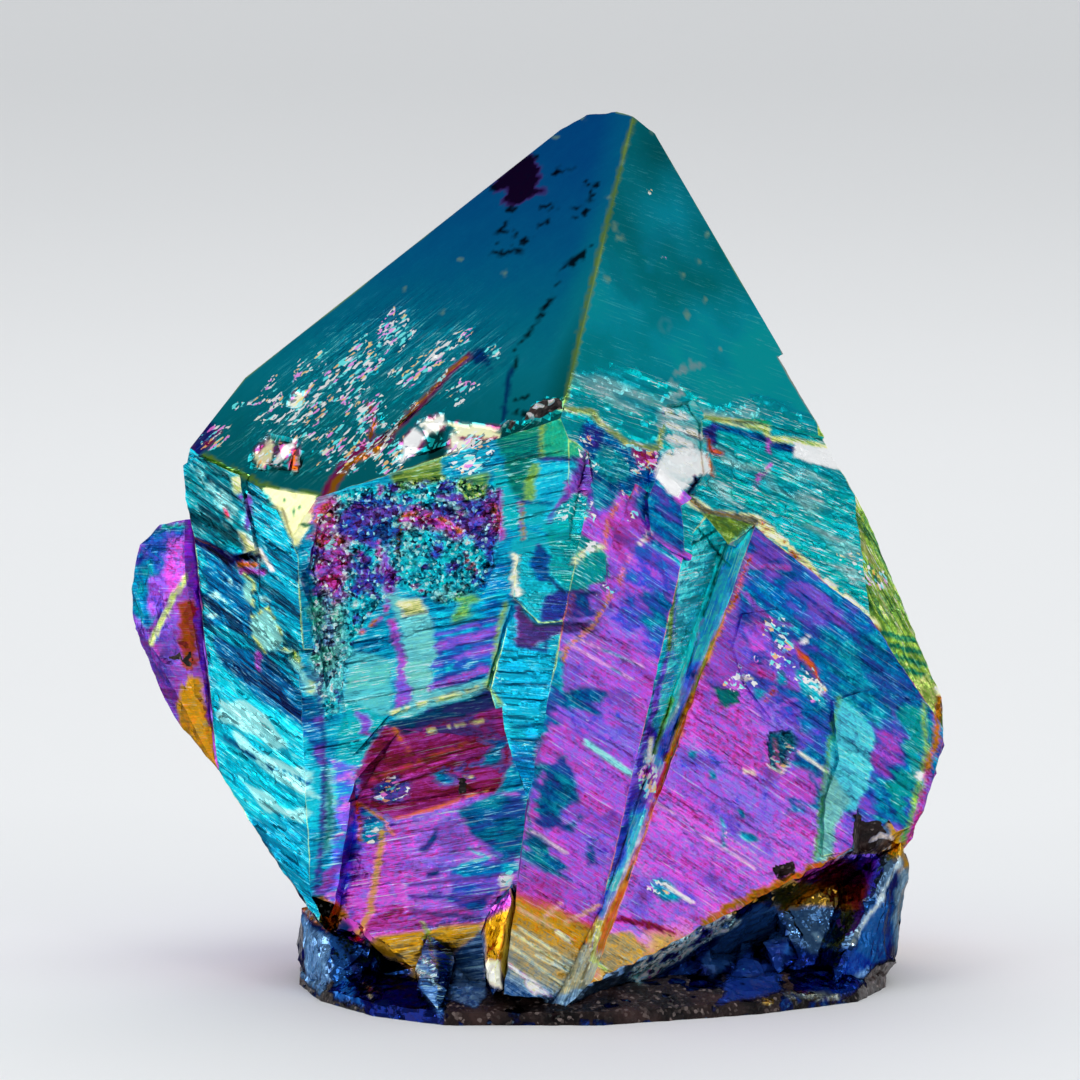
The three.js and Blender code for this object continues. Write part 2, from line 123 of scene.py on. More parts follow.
softbox("box_left", -84, 6, 4.7, (4.7, 2.6), 1.7)
softbox("box_front_right", 54, 6, 4.7, (2.0, 2.6), 1.3)
softbox("box_right", 104, 2, 4.7, (2.0, 2.3), 1.2)
softbox("box_above", 10, 80, 0.6, (0.5, 0.3), 1.6)
softbox("box_behind", 180, 42, 1.1, (0.9, 0.6), 1.4)
softbox("spark_left", -40, 28, 0.6, (0.06, 0.06), 14)
softbox("spark_right", 30, 35, 0.6, (0.06, 0.06), 12)

room = bpy.data.worlds.new("room")
room.use_nodes = True
bpy.context.scene.world = room
air = room.node_tree
rays = add(air, "LightPath")
seen_directly = add(air, "Background", Color=(0.86, 0.87, 0.88, 1), Strength=0.85)
seen_in_coating = add(air, "Background", Color=(0.62, 0.72, 0.8, 1), Strength=0.34)
either = add(air, "MixShader", rays.outputs["Is Glossy Ray"], seen_directly.outputs[0],
             seen_in_coating.outputs[0])
air.links.new(either.outputs[0], air.nodes["World Output"].inputs[0])

bend = np.linspace(0, math.pi / 2, 25)
sweep_y = np.concatenate([[-FLOOR_FRONT], FLOOR_BEHIND + BEND_RADIUS * np.sin(bend),
                          [FLOOR_BEHIND + BEND_RADIUS]])
sweep_z = np.concatenate([[0], BEND_RADIUS * (1 - np.cos(bend)), [WALL_TOP]])
count = len(sweep_y)
sweep_points = np.array([(side, y, z) for side in (-WALL_HALF, WALL_HALF)
                         for y, z in zip(sweep_y, sweep_z)])
sweep_faces = [(k, count + k, count + k + 1, k + 1) for k in range(count - 1)]
sweep_mesh = bpy.data.meshes.new("table_top")
sweep_mesh.from_pydata(sweep_points, [], sweep_faces)
sweep_mesh.shade_smooth()
table = bpy.data.objects.new("table_top", sweep_mesh)
bpy.context.scene.collection.objects.link(table)
table_paint = bpy.data.materials.new("table_paint")
table_paint.use_nodes = True
matt = table_paint.node_tree.nodes["Principled BSDF"]
matt.inputs["Base Color"].default_value = (0.8, 0.81, 0.82, 1)
matt.inputs["Roughness"].default_value = 0.8
matt.inputs["Specular IOR Level"].default_value = 0.2
table.data.materials.append(table_paint)
bpy.context.scene.view_settings.view_transform = "Standard"

# ---- Bare crystal: its flat faces ----
# The quartz itself. The grown, ground and broken faces meet in sharp edges, which the fine mesh
# below keeps exactly. Each face gets a mesh of its own, fine at the front and coarser behind.
MERGE = 1e-6  # metres; corners nearer than this are one
FLAT = math.cos(math.radians(0.6))
SLIVER = 0.02  # mm; a triangle lower than this has no direction of its own
FINE, MEDIUM, COARSE, SAWN = 0.33, 0.62, 0.95, 6.0  # mm between mesh points
CLOSE = 1e-6  # mm; points nearer than this are one in the fine mesh
THIN = 1e-3  # mm2; twice the area of a triangle too thin to tell inside from outside
GRAZING = 0.04  # the cosine at which a face is turned too far to be seen from the front
NOWHERE = 1e9  # mm; the distance of a part that faces join only by their place

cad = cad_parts["crystal_point"]


def merged_triangles(mesh):
    """The corners (mm) and triangles of a mesh whose doubled corners are joined."""
    copy = bmesh.new()
    copy.from_mesh(mesh)
    bmesh.ops.remove_doubles(copy, verts=copy.verts, dist=MERGE)
    bmesh.ops.triangulate(copy, faces=copy.faces)
    points = np.array([v.co for v in copy.verts]) / MM
    triples = np.array([[v.index for v in f.verts] for f in copy.faces])
    copy.free()
    return points, triples


def triangle_shape(points, triples):
    """Unit normals, areas and longest sides of triangles, from the cross product of two sides."""
    a, b, c = (points[triples[:, k]] for k in range(3))
    cross = np.cross(b - a, c - a)
    length = np.linalg.norm(cross, axis=1)
    sides = np.stack([np.linalg.norm(q - p, axis=1) for p, q in ((a, b), (b, c), (c, a))], axis=1)
    return cross / np.maximum(length, 1e-12)[:, None], length / 2, sides


def side_pairs(triples):
    """The sides of all triangles, each in its triangle's own direction, with the number of the
    edge that it lies on. Two sides of a closed mesh lie on every edge."""
    sides = np.concatenate([triples[:, [k, (k + 1) % 3]] for k in range(3)])
    ends, edge = np.unique(np.sort(sides, axis=1), axis=0, return_inverse=True)
    return sides, ends, edge.reshape(-1)


def flat_faces(points, triples):
    """Numbers the flat faces: neighbours share a number where their normals differ by less than
    0.6 degrees, and a sliver takes the number of the neighbour at its longest side."""
    normal, area, sides = triangle_shape(points, triples)
    thin = 2 * area / sides.max(axis=1) < SLIVER
    _, _, edge = side_pairs(triples)
    owner = np.tile(np.arange(len(triples)), 3)
    longest = np.repeat(np.arange(3), len(triples)) == sides.argmax(axis=1)[owner]
    order = np.argsort(edge, kind="stable").reshape(-1, 2)
    pair = owner[order]
    alike = (normal[pair[:, 0]] * normal[pair[:, 1]]).sum(axis=1) > FLAT
    joined = alike & ~thin[pair].any(axis=1) | (thin[pair] & longest[order]).any(axis=1)
    number = np.arange(len(triples))
    changed = True
    while changed:
        before = number.copy()
        low = number[pair[joined]].min(axis=1)
        np.minimum.at(number, pair[joined, 0], low)
        np.minimum.at(number, pair[joined, 1], low)
        changed = (before != number).any()
    return np.unique(number, return_inverse=True)[1].reshape(-1)


corners, triangles = merged_triangles(cad.data)
face_of = flat_faces(corners, triangles)
normals, areas, _ = triangle_shape(corners, triangles)
face_count = face_of.max() + 1
half_sides, edge_ends, edge_of_side = side_pairs(triangles)
side_face = face_of[np.tile(np.arange(len(triangles)), 3)]
edge_faces = side_face[np.argsort(edge_of_side, kind="stable").reshape(-1, 2)]
is_border = edge_faces[:, 0] != edge_faces[:, 1]


def per_face(values):
    """Sums an array of triangle values over each flat face."""
    total = np.zeros((face_count,) + values.shape[1:])
    np.add.at(total, face_of, values)
    return total


face_area = per_face(areas)
face_normal = per_face(normals * areas[:, None])
face_normal /= np.maximum(np.linalg.norm(face_normal, axis=1), 1e-12)[:, None]
face_centre = per_face(corners[triangles].mean(axis=1) * areas[:, None]) / face_area[:, None]
face_offset = (face_normal * face_centre).sum(axis=1)
to_eye = eye - face_centre
faces_eye = (face_normal * to_eye).sum(axis=1) / np.linalg.norm(to_eye, axis=1) > GRAZING

# Every face belongs to a part of the crystal. A part is known by the direction its faces look in
# and how far they lie from the middle; small broken faces go by where they are.
parts = {}
part_names = []


def part(name, normal, offset, grain=0.0, stretch=1.0, spacing=None, slack=2.0, **finish):
    """Names a part of the crystal. Grain is the direction of its growth lines on the front
    drawing, in degrees from the horizontal."""
    normal = np.array(normal, float)
    part_names.append(name)
    parts[name] = dict(
        normal=normal / np.linalg.norm(normal), offset=offset, grain=grain, stretch=stretch,
        spacing=spacing, slack=slack, finish=finish,
    )


def numbers_of(*names):
    """The numbers of some parts."""
    return [part_names.index(name) for name in names]


# ---- Ground tip ----
# Four faces ground and polished flat before coating, with a small rounded top. The lower parts of
# the faces keep their natural etched skin.
part("tip_left", (-0.50, -0.60, 0.62), 51.5, grain=38, spacing=0.42, slack=1.2)
part("tip_right", (0.62, -0.68, 0.40), 36.5, grain=-18, spacing=0.42, slack=0.4)
part("etched_right", (0.62, -0.68, 0.40), 35.5, grain=-22, stretch=1.25, slack=0.5)
part("tip_back_left", (-0.41, 0.73, 0.54), 51.7, spacing=COARSE, slack=0.4)
part("etched_back_left", (-0.41, 0.73, 0.54), 50.9, slack=0.4)
part("tip_back_right", (0.81, 0.36, 0.46), 44.2, spacing=COARSE, slack=0.4)
part("etched_back_right", (0.81, 0.36, 0.46), 43.4, slack=0.4)
part("rim_right", (0.91, 0.19, 0.36), 41.5, grain=-60)
part("lime", (0.74, -0.57, 0.36), 36.8, grain=-60)
part("shoulder_left", (-0.75, 0.54, 0.37), 52.4, grain=40)
GROUND_LEFT = ("tip_left", "tip_back_left", "shoulder_left")
GROUND_RIGHT = ("tip_right", "tip_back_right")

# ---- Grown columns ----
# Three prism columns of quartz that grew side by side from one root. Their faces are left as they
# grew, and carry growth lines, ledges and plates.
part("face_a", (-0.80, -0.60, -0.03), 29.2, grain=-33, stretch=1.5)
part("violet", (-0.98, -0.15, -0.09), 35.3, grain=-80)
part("face_b", (-0.43, -0.90, -0.01), 22.0, grain=11, stretch=1.4, slack=2.2)
part("ceiling_b", (-0.32, -0.90, -0.29), 12.6, grain=14, stretch=1.4)
part("face_c", (-0.48, -0.86, 0.18), 29.3, grain=-3, stretch=1.4)
part("face_d", (0.45, -0.89, 0.00), 20.3, grain=-33, stretch=1.5)
part("side_d", (0.87, -0.47, -0.15), 9.2, grain=12, stretch=1.4)
part("wall_e", (-0.33, -0.86, 0.40), 23.0, grain=70)
part("face_e", (0.47, -0.88, 0.10), 22.1, grain=-34, stretch=1.5)
part("back", (-0.03, 1.00, -0.02), 26.4, grain=8, stretch=1.3)
part("back_right", (0.44, 0.89, -0.12), 26.7, grain=-10, stretch=1.3)
part("back_left", (-0.72, 0.69, -0.08), 32.0, grain=14, stretch=1.3)
part("side_right", (1.00, 0.06, 0.01), 34.9, grain=-15, stretch=1.3)
part("side_under", (0.95, 0.05, -0.31), 25.3, grain=-15, stretch=1.3)
part("under_left", (-0.75, 0.09, -0.66), 14.7, grain=-30)

# ---- Foot ----
# Where the crystal broke from its bed. The break is glassy and curved like thick glass, and the
# underside was sawn flat so that the crystal stands.
part("end_e", (0.56, -0.47, -0.68), 9.0, grain=25, spacing=0.4)
part("sawn", (0, 0, -1), 0.0, spacing=SAWN)
for name in ("side_crystal", "foot_rock", "foot_rim", "step"):
    part(name, (0, 0, 1), NOWHERE, spacing=0.4)

STEEPEST_MATCH = 5.0  # degrees between a face and the part that it belongs to
FOOT_TOP = 11.0
FOOT_RIM_TOP = 2.9
FOOT_RIGHT = (22.0, 15.5)  # beyond this far right the broken foot reaches up to this height
SIDE_CRYSTAL = (-36.0, 19.0, 48.0)  # it lies left of the first number and between these heights


def parts_of_faces():
    """The part of each face: the one whose direction and distance fit best. A face that fits none
    belongs to the foot or the side crystal by its place, and else it is a step."""
    names = [n for n in part_names if parts[n]["offset"] < NOWHERE]
    normal = np.array([parts[n]["normal"] for n in names])
    offset = np.array([parts[n]["offset"] for n in names])
    slack = np.array([parts[n]["slack"] for n in names])
    turn = np.degrees(np.arccos(np.clip(face_normal @ normal.T, -1, 1)))
    away = np.abs(face_offset[:, None] - offset)
    cost = np.where((turn < STEEPEST_MATCH) & (away < slack), turn + 2 * away, NOWHERE)
    found = np.array(numbers_of(*names))[cost.argmin(axis=1)]
    x, _, z = face_centre.T
    low = (z < FOOT_TOP) | (x > FOOT_RIGHT[0]) & (z < FOOT_RIGHT[1])
    beside = (x < SIDE_CRYSTAL[0]) & (z > SIDE_CRYSTAL[1]) & (z < SIDE_CRYSTAL[2])
    other = np.where(beside, *numbers_of("side_crystal", "step"))
    other = np.where(low, np.where(z < FOOT_RIM_TOP, *numbers_of("foot_rim", "foot_rock")), other)
    return np.where(cost.min(axis=1) < NOWHERE, found, other)


face_part = parts_of_faces()
STEP = part_names.index("step")


def parents_of_steps():
    """A step takes its growth direction and film from the largest face beside it."""
    parent = np.where(face_part == STEP, -1, face_part)
    pairs = edge_faces[is_border]
    pairs = np.concatenate([pairs, pairs[:, ::-1]])
    for _ in range(4):
        open_pairs = pairs[(parent[pairs[:, 0]] < 0) & (parent[pairs[:, 1]] >= 0)]
        open_pairs = open_pairs[np.argsort(face_area[open_pairs[:, 1]])]
        parent[open_pairs[:, 0]] = parent[open_pairs[:, 1]]
    return np.where(parent < 0, part_names.index("face_b"), parent)


face_parent = parents_of_steps()

# ---- Bare crystal: growth directions ----
# Quartz grows in thin layers, and their ends leave lines on every face. The lines run one way over
# a whole face, and the relief, the film and the fine mesh all follow them.


def growth_axes():
    """Unit vectors along and across the growth lines of every face. At the front, the line drawn
    at the part's angle on the front drawing is carried along the line of view onto the face;
    elsewhere the angle is measured from the face's own horizontal."""
    angle = np.radians([parts[part_names[k]]["grain"] for k in face_parent])[:, None]
    drawn = np.cos(angle) * rightward + np.sin(angle) * upward
    facing = (face_normal @ forward)[:, None]
    slide = (face_normal * drawn).sum(axis=1)[:, None] / np.where(faces_eye[:, None], facing, 1)
    front_along = drawn - slide * forward
    level = np.cross([0, 0, 1.0], face_normal)
    level = np.where(np.linalg.norm(level, axis=1)[:, None] > 0.05, level, [1.0, 0, 0])
    level /= np.linalg.norm(level, axis=1)[:, None]
    rear_along = np.cos(angle) * level + np.sin(angle) * np.cross(face_normal, level)
    along = np.where(faces_eye[:, None], front_along, rear_along)
    along -= (along * face_normal).sum(axis=1)[:, None] * face_normal
    along /= np.linalg.norm(along, axis=1)[:, None]
    return along, np.cross(face_normal, along)


face_along, face_across = growth_axes()
face_stretch = np.array([parts[part_names[k]]["stretch"] for k in face_part])
face_spacing = np.array([
    parts[part_names[k]]["spacing"] or (FINE if seen else MEDIUM)
    for k, seen in zip(face_part, faces_eye)
])
face_spacing = np.where(~faces_eye & (face_spacing < MEDIUM), MEDIUM, face_spacing)

# ---- Bare crystal: fine mesh ----
# Points are set evenly along every border, the same for both faces that meet there, and on a
# staggered grid inside each face, denser across the growth lines than along them.
ROW_STEP = 0.866  # the height of a triangle with sides of one
NUDGE = 0.16  # how far a grid point is moved at random, as a share of the pitch
CLEARANCE = 0.52  # how near a grid point may lie to the border, as a share of the pitch
TOUCHING = 1e-4  # mm; a spot nearer than this lies on the border
border_length = np.linalg.norm(corners[edge_ends[:, 1]] - corners[edge_ends[:, 0]], axis=1)
pieces_of_edge = np.ceil(border_length / face_spacing[edge_faces].min(axis=1)).astype(int)
pieces_of_edge = np.where(is_border, np.maximum(pieces_of_edge, 1), 1)
first_new = len(corners) + np.concatenate([[0], np.cumsum(pieces_of_edge - 1)])[:-1]
owner = np.repeat(np.arange(len(edge_ends)), pieces_of_edge - 1)
step_number = np.arange(len(owner)) - (first_new[owner] - len(corners)) + 1
share = (step_number / pieces_of_edge[owner])[:, None]
start, end = corners[edge_ends[owner, 0]], corners[edge_ends[owner, 1]]
points = [corners, start * (1 - share) + end * share]
point_total = len(corners) + len(owner)

dice = np.random.default_rng(7)
LEAST_TURN = math.cos(math.radians(14))
GENTLE = math.cos(math.radians(12))
FAR = 9.0  # mm, for a face with no such edge


def edge_kinds():
    """Which borders are keen, where two parts meet in an outward edge, which are nooks, where they
    meet in a hollow, and which are firm: all but the slight bends within a part, which the growth
    relief crosses. An edge is outward if the next face falls away behind this one."""
    side_triangle = np.tile(np.arange(len(triangles)), 3)
    pair = np.argsort(edge_of_side, kind="stable").reshape(-1, 2)
    here, there = side_triangle[pair[:, 0]], side_triangle[pair[:, 1]]
    far_corner = triangles[there].sum(axis=1) - edge_ends.sum(axis=1)
    rise = ((corners[far_corner] - corners[edge_ends[:, 0]]) * normals[here]).sum(axis=1)
    turn = (face_normal[edge_faces[:, 0]] * face_normal[edge_faces[:, 1]]).sum(axis=1)
    parent = face_parent[edge_faces]
    alike = parent[:, 0] == parent[:, 1]
    meeting = is_border & ~alike & (turn < LEAST_TURN)
    return meeting & (rise < 0), meeting & (rise > 0), is_border & ~(alike & (turn > GENTLE))


def chain(side):
    """The point numbers along one side of a triangle, in the side's own direction."""
    e = edge_of_side[side]
    a, b = edge_ends[e]
    inner = list(range(first_new[e], first_new[e] + pieces_of_edge[e] - 1))
    ids = [a, *inner, b]
    return ids if half_sides[side][0] == a else ids[::-1]


def gaps_to_lines(p, a, b):
    """Distance from each 2-D point to the nearest of the lines from a to b."""
    if not len(a) or not len(p):
        return np.full(len(p), FAR)
    d = b - a
    along = ((p[:, None] - a) * d).sum(axis=2) / np.maximum((d * d).sum(axis=1), 1e-18)
    nearest = a + np.clip(along, 0, 1)[:, :, None] * d
    return np.linalg.norm(p[:, None] - nearest, axis=2).min(axis=1)


def inside(p, a, b):
    """Whether 2-D points lie inside an outline: a ray to the right crosses it an odd number of
    times."""
    y = p[:, 1:2]
    crosses = (a[:, 1] > y) != (b[:, 1] > y)
    fall = np.where(a[:, 1] == b[:, 1], 1, b[:, 1] - a[:, 1])
    x = a[:, 0] + (y - a[:, 1]) / fall * (b[:, 0] - a[:, 0])
    return (crosses & (p[:, 0:1] < x)).sum(axis=1) % 2 == 1


def staggered_grid(low, high, pitch):
    """Rows of points, every second row moved by half a pitch, each point nudged at random."""
    rows = np.arange(low[1], high[1], pitch * ROW_STEP)
    columns = np.arange(low[0], high[0] + pitch, pitch)
    x, y = np.meshgrid(columns, rows)
    x = x + pitch / 2 * (np.arange(len(rows)) % 2)[:, None]
    p = np.stack([x.ravel(), y.ravel()], axis=1)
    return p + dice.uniform(-NUDGE, NUDGE, p.shape) * pitch


def within_border(cut, made, source, segments, a, b):
    """Which triangles lie inside a face. A triangle with a border line lies inside if it runs
    along that line in the border's own direction, and any other by where its middle is. One that
    is too thin to tell does as its neighbours do."""
    known = inside(made[cut].mean(axis=1), a, b)
    p, q, r = (made[cut[:, k]] for k in range(3))
    doubled = (q - p)[:, 0] * (r - p)[:, 1] - (q - p)[:, 1] * (r - p)[:, 0]
    sure = np.abs(doubled) > THIN
    forth = {tuple(s) for s in segments}
    beside = {}
    for t, corners_of_it in enumerate(cut):
        for k in range(3):
            i, j = corners_of_it[k], corners_of_it[(k + 1) % 3]
            beside.setdefault((min(i, j), max(i, j)), []).append(t)
            line = (source[i], source[j])
            if line in forth or line[::-1] in forth:
                known[t] = line in forth
                sure[t] = True
    unsure = list(np.flatnonzero(~sure))
    while unsure:
        t = unsure.pop(0)
        i, j, k = sorted(cut[t])
        near = [n for e in ((i, j), (j, k), (i, k)) for n in beside[e] if sure[n]]
        if near:
            known[t] = known[near[0]]
            sure[t] = True
        else:
            unsure.append(t)
    return known


sides_of_face = np.split(
    np.argsort(side_face, kind="stable"), np.cumsum(np.bincount(side_face, minlength=face_count))[:-1]
)
is_keen, is_nook, is_firm = edge_kinds()
spot_point, spot_face, spot_gap, spot_keen, spot_nook, cut_triangles = [], [], [], [], [], []
spot_total = 0
known = np.concatenate(points)
for f in range(face_count):
    rim_sides = [s for s in sides_of_face[f] if is_border[edge_of_side[s]]]
    chains = [chain(s) for s in rim_sides]
    rim_ids = sorted({i for ids in chains for i in ids})
    place = {i: k for k, i in enumerate(rim_ids)}
    frame_2d = np.stack([face_along[f], face_across[f]], axis=1)
    scale = np.array([1 / face_stretch[f], face_stretch[f]])
    rim = known[rim_ids] @ frame_2d
    ends = known[[(ids[0], ids[-1]) for ids in chains]] @ frame_2d
    pitch = face_spacing[f]
    a, b = ends[:, 0] * scale, ends[:, 1] * scale
    grid = staggered_grid(a.min(axis=0), a.max(axis=0), pitch)
    grid = grid[inside(grid, a, b)] if len(grid) else grid
    if len(grid):
        grid = grid[gaps_to_lines(grid, a, b) > CLEARANCE * pitch * min(scale.min() * 1.3, 1)]
    segments = [(place[i], place[j]) for ids in chains for i, j in zip(ids[:-1], ids[1:])]
    flat = np.concatenate([rim * scale, grid]) if len(grid) else rim * scale
    middle = flat.mean(axis=0)
    made, _, cut, source, _, _ = delaunay_2d_cdt(
        [Vector(p) for p in flat - middle], segments, [], 0, CLOSE, True
    )
    made = np.array(made)[:, :2] + middle
    cut = np.array(cut)
    first = np.array([ids[0] if ids else -1 for ids in source])
    is_rim = (first >= 0) & (first < len(rim_ids))
    cut = cut[within_border(cut, made, first, segments, a, b)]
    real = made / scale
    body = real @ frame_2d.T + face_offset[f] * face_normal[f]
    ids = np.full(len(made), -1)
    ids[is_rim] = np.array(rim_ids)[first[is_rim]]
    ids[~is_rim] = point_total + np.arange((~is_rim).sum())
    points.append(body[~is_rim])
    point_total += (~is_rim).sum()
    for kept, chosen in ((spot_keen, is_keen), (spot_nook, is_nook), (spot_gap, is_firm)):
        those = chosen[edge_of_side[rim_sides]]
        kept.append(gaps_to_lines(real, ends[those, 0], ends[those, 1]))
    spot_point.append(ids)
    spot_face.append(np.full(len(ids), f))
    cut_triangles.append(cut + spot_total)
    spot_total += len(ids)

points = np.concatenate(points)
spot_point, spot_face, spot_gap, spot_keen, spot_nook, cut_triangles = (
    np.concatenate(rows) for rows in (spot_point, spot_face, spot_gap, spot_keen, spot_nook, cut_triangles)
)
spot_gap[spot_gap < TOUCHING] = 0

# ---- Random fields ----
# Repeatable noise, worked out from places alone, so it is the same in every run. All growth,
# breakage and staining uses it.


def lattice(x, y, z, seed):
    """A random number 0..1 for whole-number places: each number is multiplied by a large prime,
    and the bits are mixed."""
    h = x * 73856093 ^ y * 19349663 ^ z * 83492791 ^ (seed + 11) * 40503
    h = (h ^ (h >> 13)) * 1274126177
    h = (h ^ (h >> 16)) * 668265263
    return ((h >> 8) & 0xFFFF) / 65535.0


def drift(x, y, z, seed):
    """Smooth noise -1..1: random numbers at the corners of unit cubes, blended inside each cube by
    the weights 3t^2 - 2t^3."""
    cell = [np.floor(c).astype(np.int64) for c in (x, y, z)]
    part_way = [c - k for c, k in zip((x, y, z), cell)]
    part_way = [t * t * (3 - 2 * t) for t in part_way]
    total = 0
    for i, j, k in np.ndindex(2, 2, 2):
        weight = 1.0
        for t, at in zip(part_way, (i, j, k)):
            weight = weight * (t if at else 1 - t)
        total = total + weight * lattice(cell[0] + i, cell[1] + j, cell[2] + k, seed)
    return 2 * total - 1


def drift_2d(x, y, seed):
    """The same smooth noise on a plane."""
    return drift(x, y, 0 * x, seed)


def rough(p, size, seed, octaves=3):
    """Layers of smooth noise in space, each half as large and half as strong as the last."""
    total, strength = 0, 0
    for k in range(octaves):
        q = p / size * 2**k
        total = total + drift(q[:, 0], q[:, 1], q[:, 2], seed + k) / 2**k
        strength += 1 / 2**k
    return total / strength


def smooth(low, high, x):
    """0 below low, 1 above high, and an S-curve between them."""
    t = np.clip((x - low) / (high - low), 0, 1)
    return t * t * (3 - 2 * t)


def cells(x, y, seed):
    """Scattered cells of unit size: for each point the nearest random centre, as offsets from it,
    how much further the next centre is, and two random numbers of the cell."""
    column, row = np.floor(x).astype(np.int64), np.floor(y).astype(np.int64)
    best = np.full(x.shape, 9.0)
    second = np.full(x.shape, 9.0)
    dx, dy, r, s = (np.zeros(x.shape) for _ in range(4))
    for i in (-1, 0, 1):
        for j in (-1, 0, 1):
            cx, cy = column + i, row + j
            ox = x - cx - 0.1 - 0.8 * lattice(cx, cy, 1, seed)
            oy = y - cy - 0.1 - 0.8 * lattice(cx, cy, 2, seed)
            d = np.hypot(ox, oy)
            nearer = d < best
            second = np.where(nearer, best, np.minimum(second, d))
            best = np.where(nearer, d, best)
            dx, dy = np.where(nearer, ox, dx), np.where(nearer, oy, dy)
            r = np.where(nearer, lattice(cx, cy, 3, seed), r)
            s = np.where(nearer, lattice(cx, cy, 4, seed), s)
    return dx, dy, second - best, r, s


# ---- Growth relief ----
# What grew or broke on each face, as heights in millimetres over the two directions of that face:
# u runs along the growth lines and v across them.
spot_place = points[spot_point]
spot_u = (spot_place * face_along[spot_face]).sum(axis=1)
spot_v = (spot_place * face_across[spot_face]).sum(axis=1)
spot_part = face_part[spot_face]
spot_parent = face_parent[spot_face]
spot_seen = faces_eye[spot_face]
spot_across, spot_up = on_drawing(spot_place)


def ledges(u, v, width, seed):
    """Growth ledges: across each band the face climbs evenly and drops at the end. Every band has
    its own height, which also changes along its length, so bands start and end."""
    v = v + 0.5 * width * drift_2d(u / (9 * width), v / (2.5 * width), seed)
    band = np.floor(v / width)
    climb = v / width - band
    tall = smooth(-0.25, 0.7, drift_2d(u / (6 * width), 5.37 * band, seed + 1))
    return tall * climb * (1 - smooth(0.84, 1.0, climb))


def scales(u, v, long, wide, seed):
    """Crystal scales: every cell is a small flat facet, tilted its own way."""
    bend = 0.35 * drift_2d(u / long * 1.7, v / wide * 1.7, seed + 5)
    dx, dy, _, r, s = cells(u / long + bend, v / wide + bend, seed)
    return (r - 0.5) * dx + (s - 0.5) * dy + 0.35 * (lattice_of(r) - 0.5)


def lattice_of(r):
    """A second random number made from a first one: the far decimals of its multiple."""
    return (r * 977.13) % 1.0


def shells(p, size, seed):
    """Broken glassy rock: shallow bowls that meet in sharp ridges, with faint ripples in each."""
    bend = rough(p, size * 1.5, seed + 3, 2)
    x = p[:, 0] + 0.6 * p[:, 1]
    y = p[:, 2] + 0.5 * p[:, 1]
    dx, dy, _, r, s = cells(x / size + 0.4 * bend, y / size - 0.4 * bend, seed)
    d = np.hypot(dx, dy)
    return 0.9 * d * d + 0.4 * (r - 0.5) * dx + 0.5 * (s - 0.5) * dy + 0.02 * np.sin(d * 30)


relief = np.zeros(len(spot_place))
layer_names = ("film", "tone", "gloss", "lines", "grit", "bare", "druse", "rise", "frost", "flakes")
layers = {name: np.zeros(len(spot_place)) for name in layer_names}
hue = np.zeros((len(spot_place), 3))
FROSTED = 0.93  # a film this far along scatters the light
PALE = np.array([0.62, 1.0, 0.9])

# The colours of the film as it gets thicker, each with its place from 0 to 1.
FILM_COLOURS = [
    (0.00, (40, 26, 32)), (0.05, (58, 42, 44)), (0.10, (14, 40, 130)), (0.16, (44, 104, 176)),
    (0.22, (140, 176, 204)), (0.27, (186, 178, 140)), (0.33, (222, 164, 30)),
    (0.385, (232, 100, 28)), (0.43, (214, 36, 112)), (0.48, (222, 80, 214)),
    (0.535, (152, 86, 220)), (0.59, (56, 66, 196)), (0.64, (0, 92, 178)), (0.695, (0, 140, 198)),
    (0.75, (20, 192, 212)), (0.80, (0, 154, 152)), (0.85, (30, 172, 130)),
    (0.905, (164, 212, 76)), (0.95, (238, 236, 150)), (1.00, (252, 236, 232)),
]


def linear(red, green, blue):
    """A colour given in the usual 0..255 steps, as the even-light numbers that shaders use."""
    steps = np.array([red, green, blue]) / 255
    return (*np.where(steps > 0.04045, ((steps + 0.055) / 1.055) ** 2.4, steps / 12.92), 1)


def film_colour(film):
    """The colour of a film, mixed from the two nearest thicknesses in the list."""
    places = [place for place, _ in FILM_COLOURS]
    known = np.array([linear(*colour)[:3] for _, colour in FILM_COLOURS])
    return np.stack([np.interp(film, places, known[:, k]) for k in range(3)], axis=-1)


def blend_in(weight, values):
    """Moves layers towards new values by a weight. The film's colour moves straight to the new one,
    so no other colours show between them, and a nearly white film is frosted. Pale says how far
    the colour is lightened."""
    here = np.flatnonzero(weight > 0)
    share = weight[here]
    if "film" in values:
        film = np.broadcast_to(values["film"], weight.shape)[here]
        colour = film_colour(film)
        colour += (PALE - colour) * values.get("pale", 0)
        hue[here] += (colour - hue[here]) * share[:, None]
        layers["frost"][here] += ((film > FROSTED) - layers["frost"][here]) * share
    for name in layers.keys() & values.keys():
        value = np.broadcast_to(values[name], weight.shape)[here]
        layers[name][here] += (value - layers[name][here]) * share


def of_part(*names):
    """The spots of some parts, with the steps that belong to them."""
    return np.isin(spot_parent, numbers_of(*names))


def finish(*names, **values):
    """Sets the finish of parts: film 0..1 is the coating's thickness, tone its brightness, which in
    many places is painted light or shade, gloss its polish, lines how strongly growth lines show, grit
    how strongly small grains do."""
    blend_in(of_part(*names) * 1.0, values)


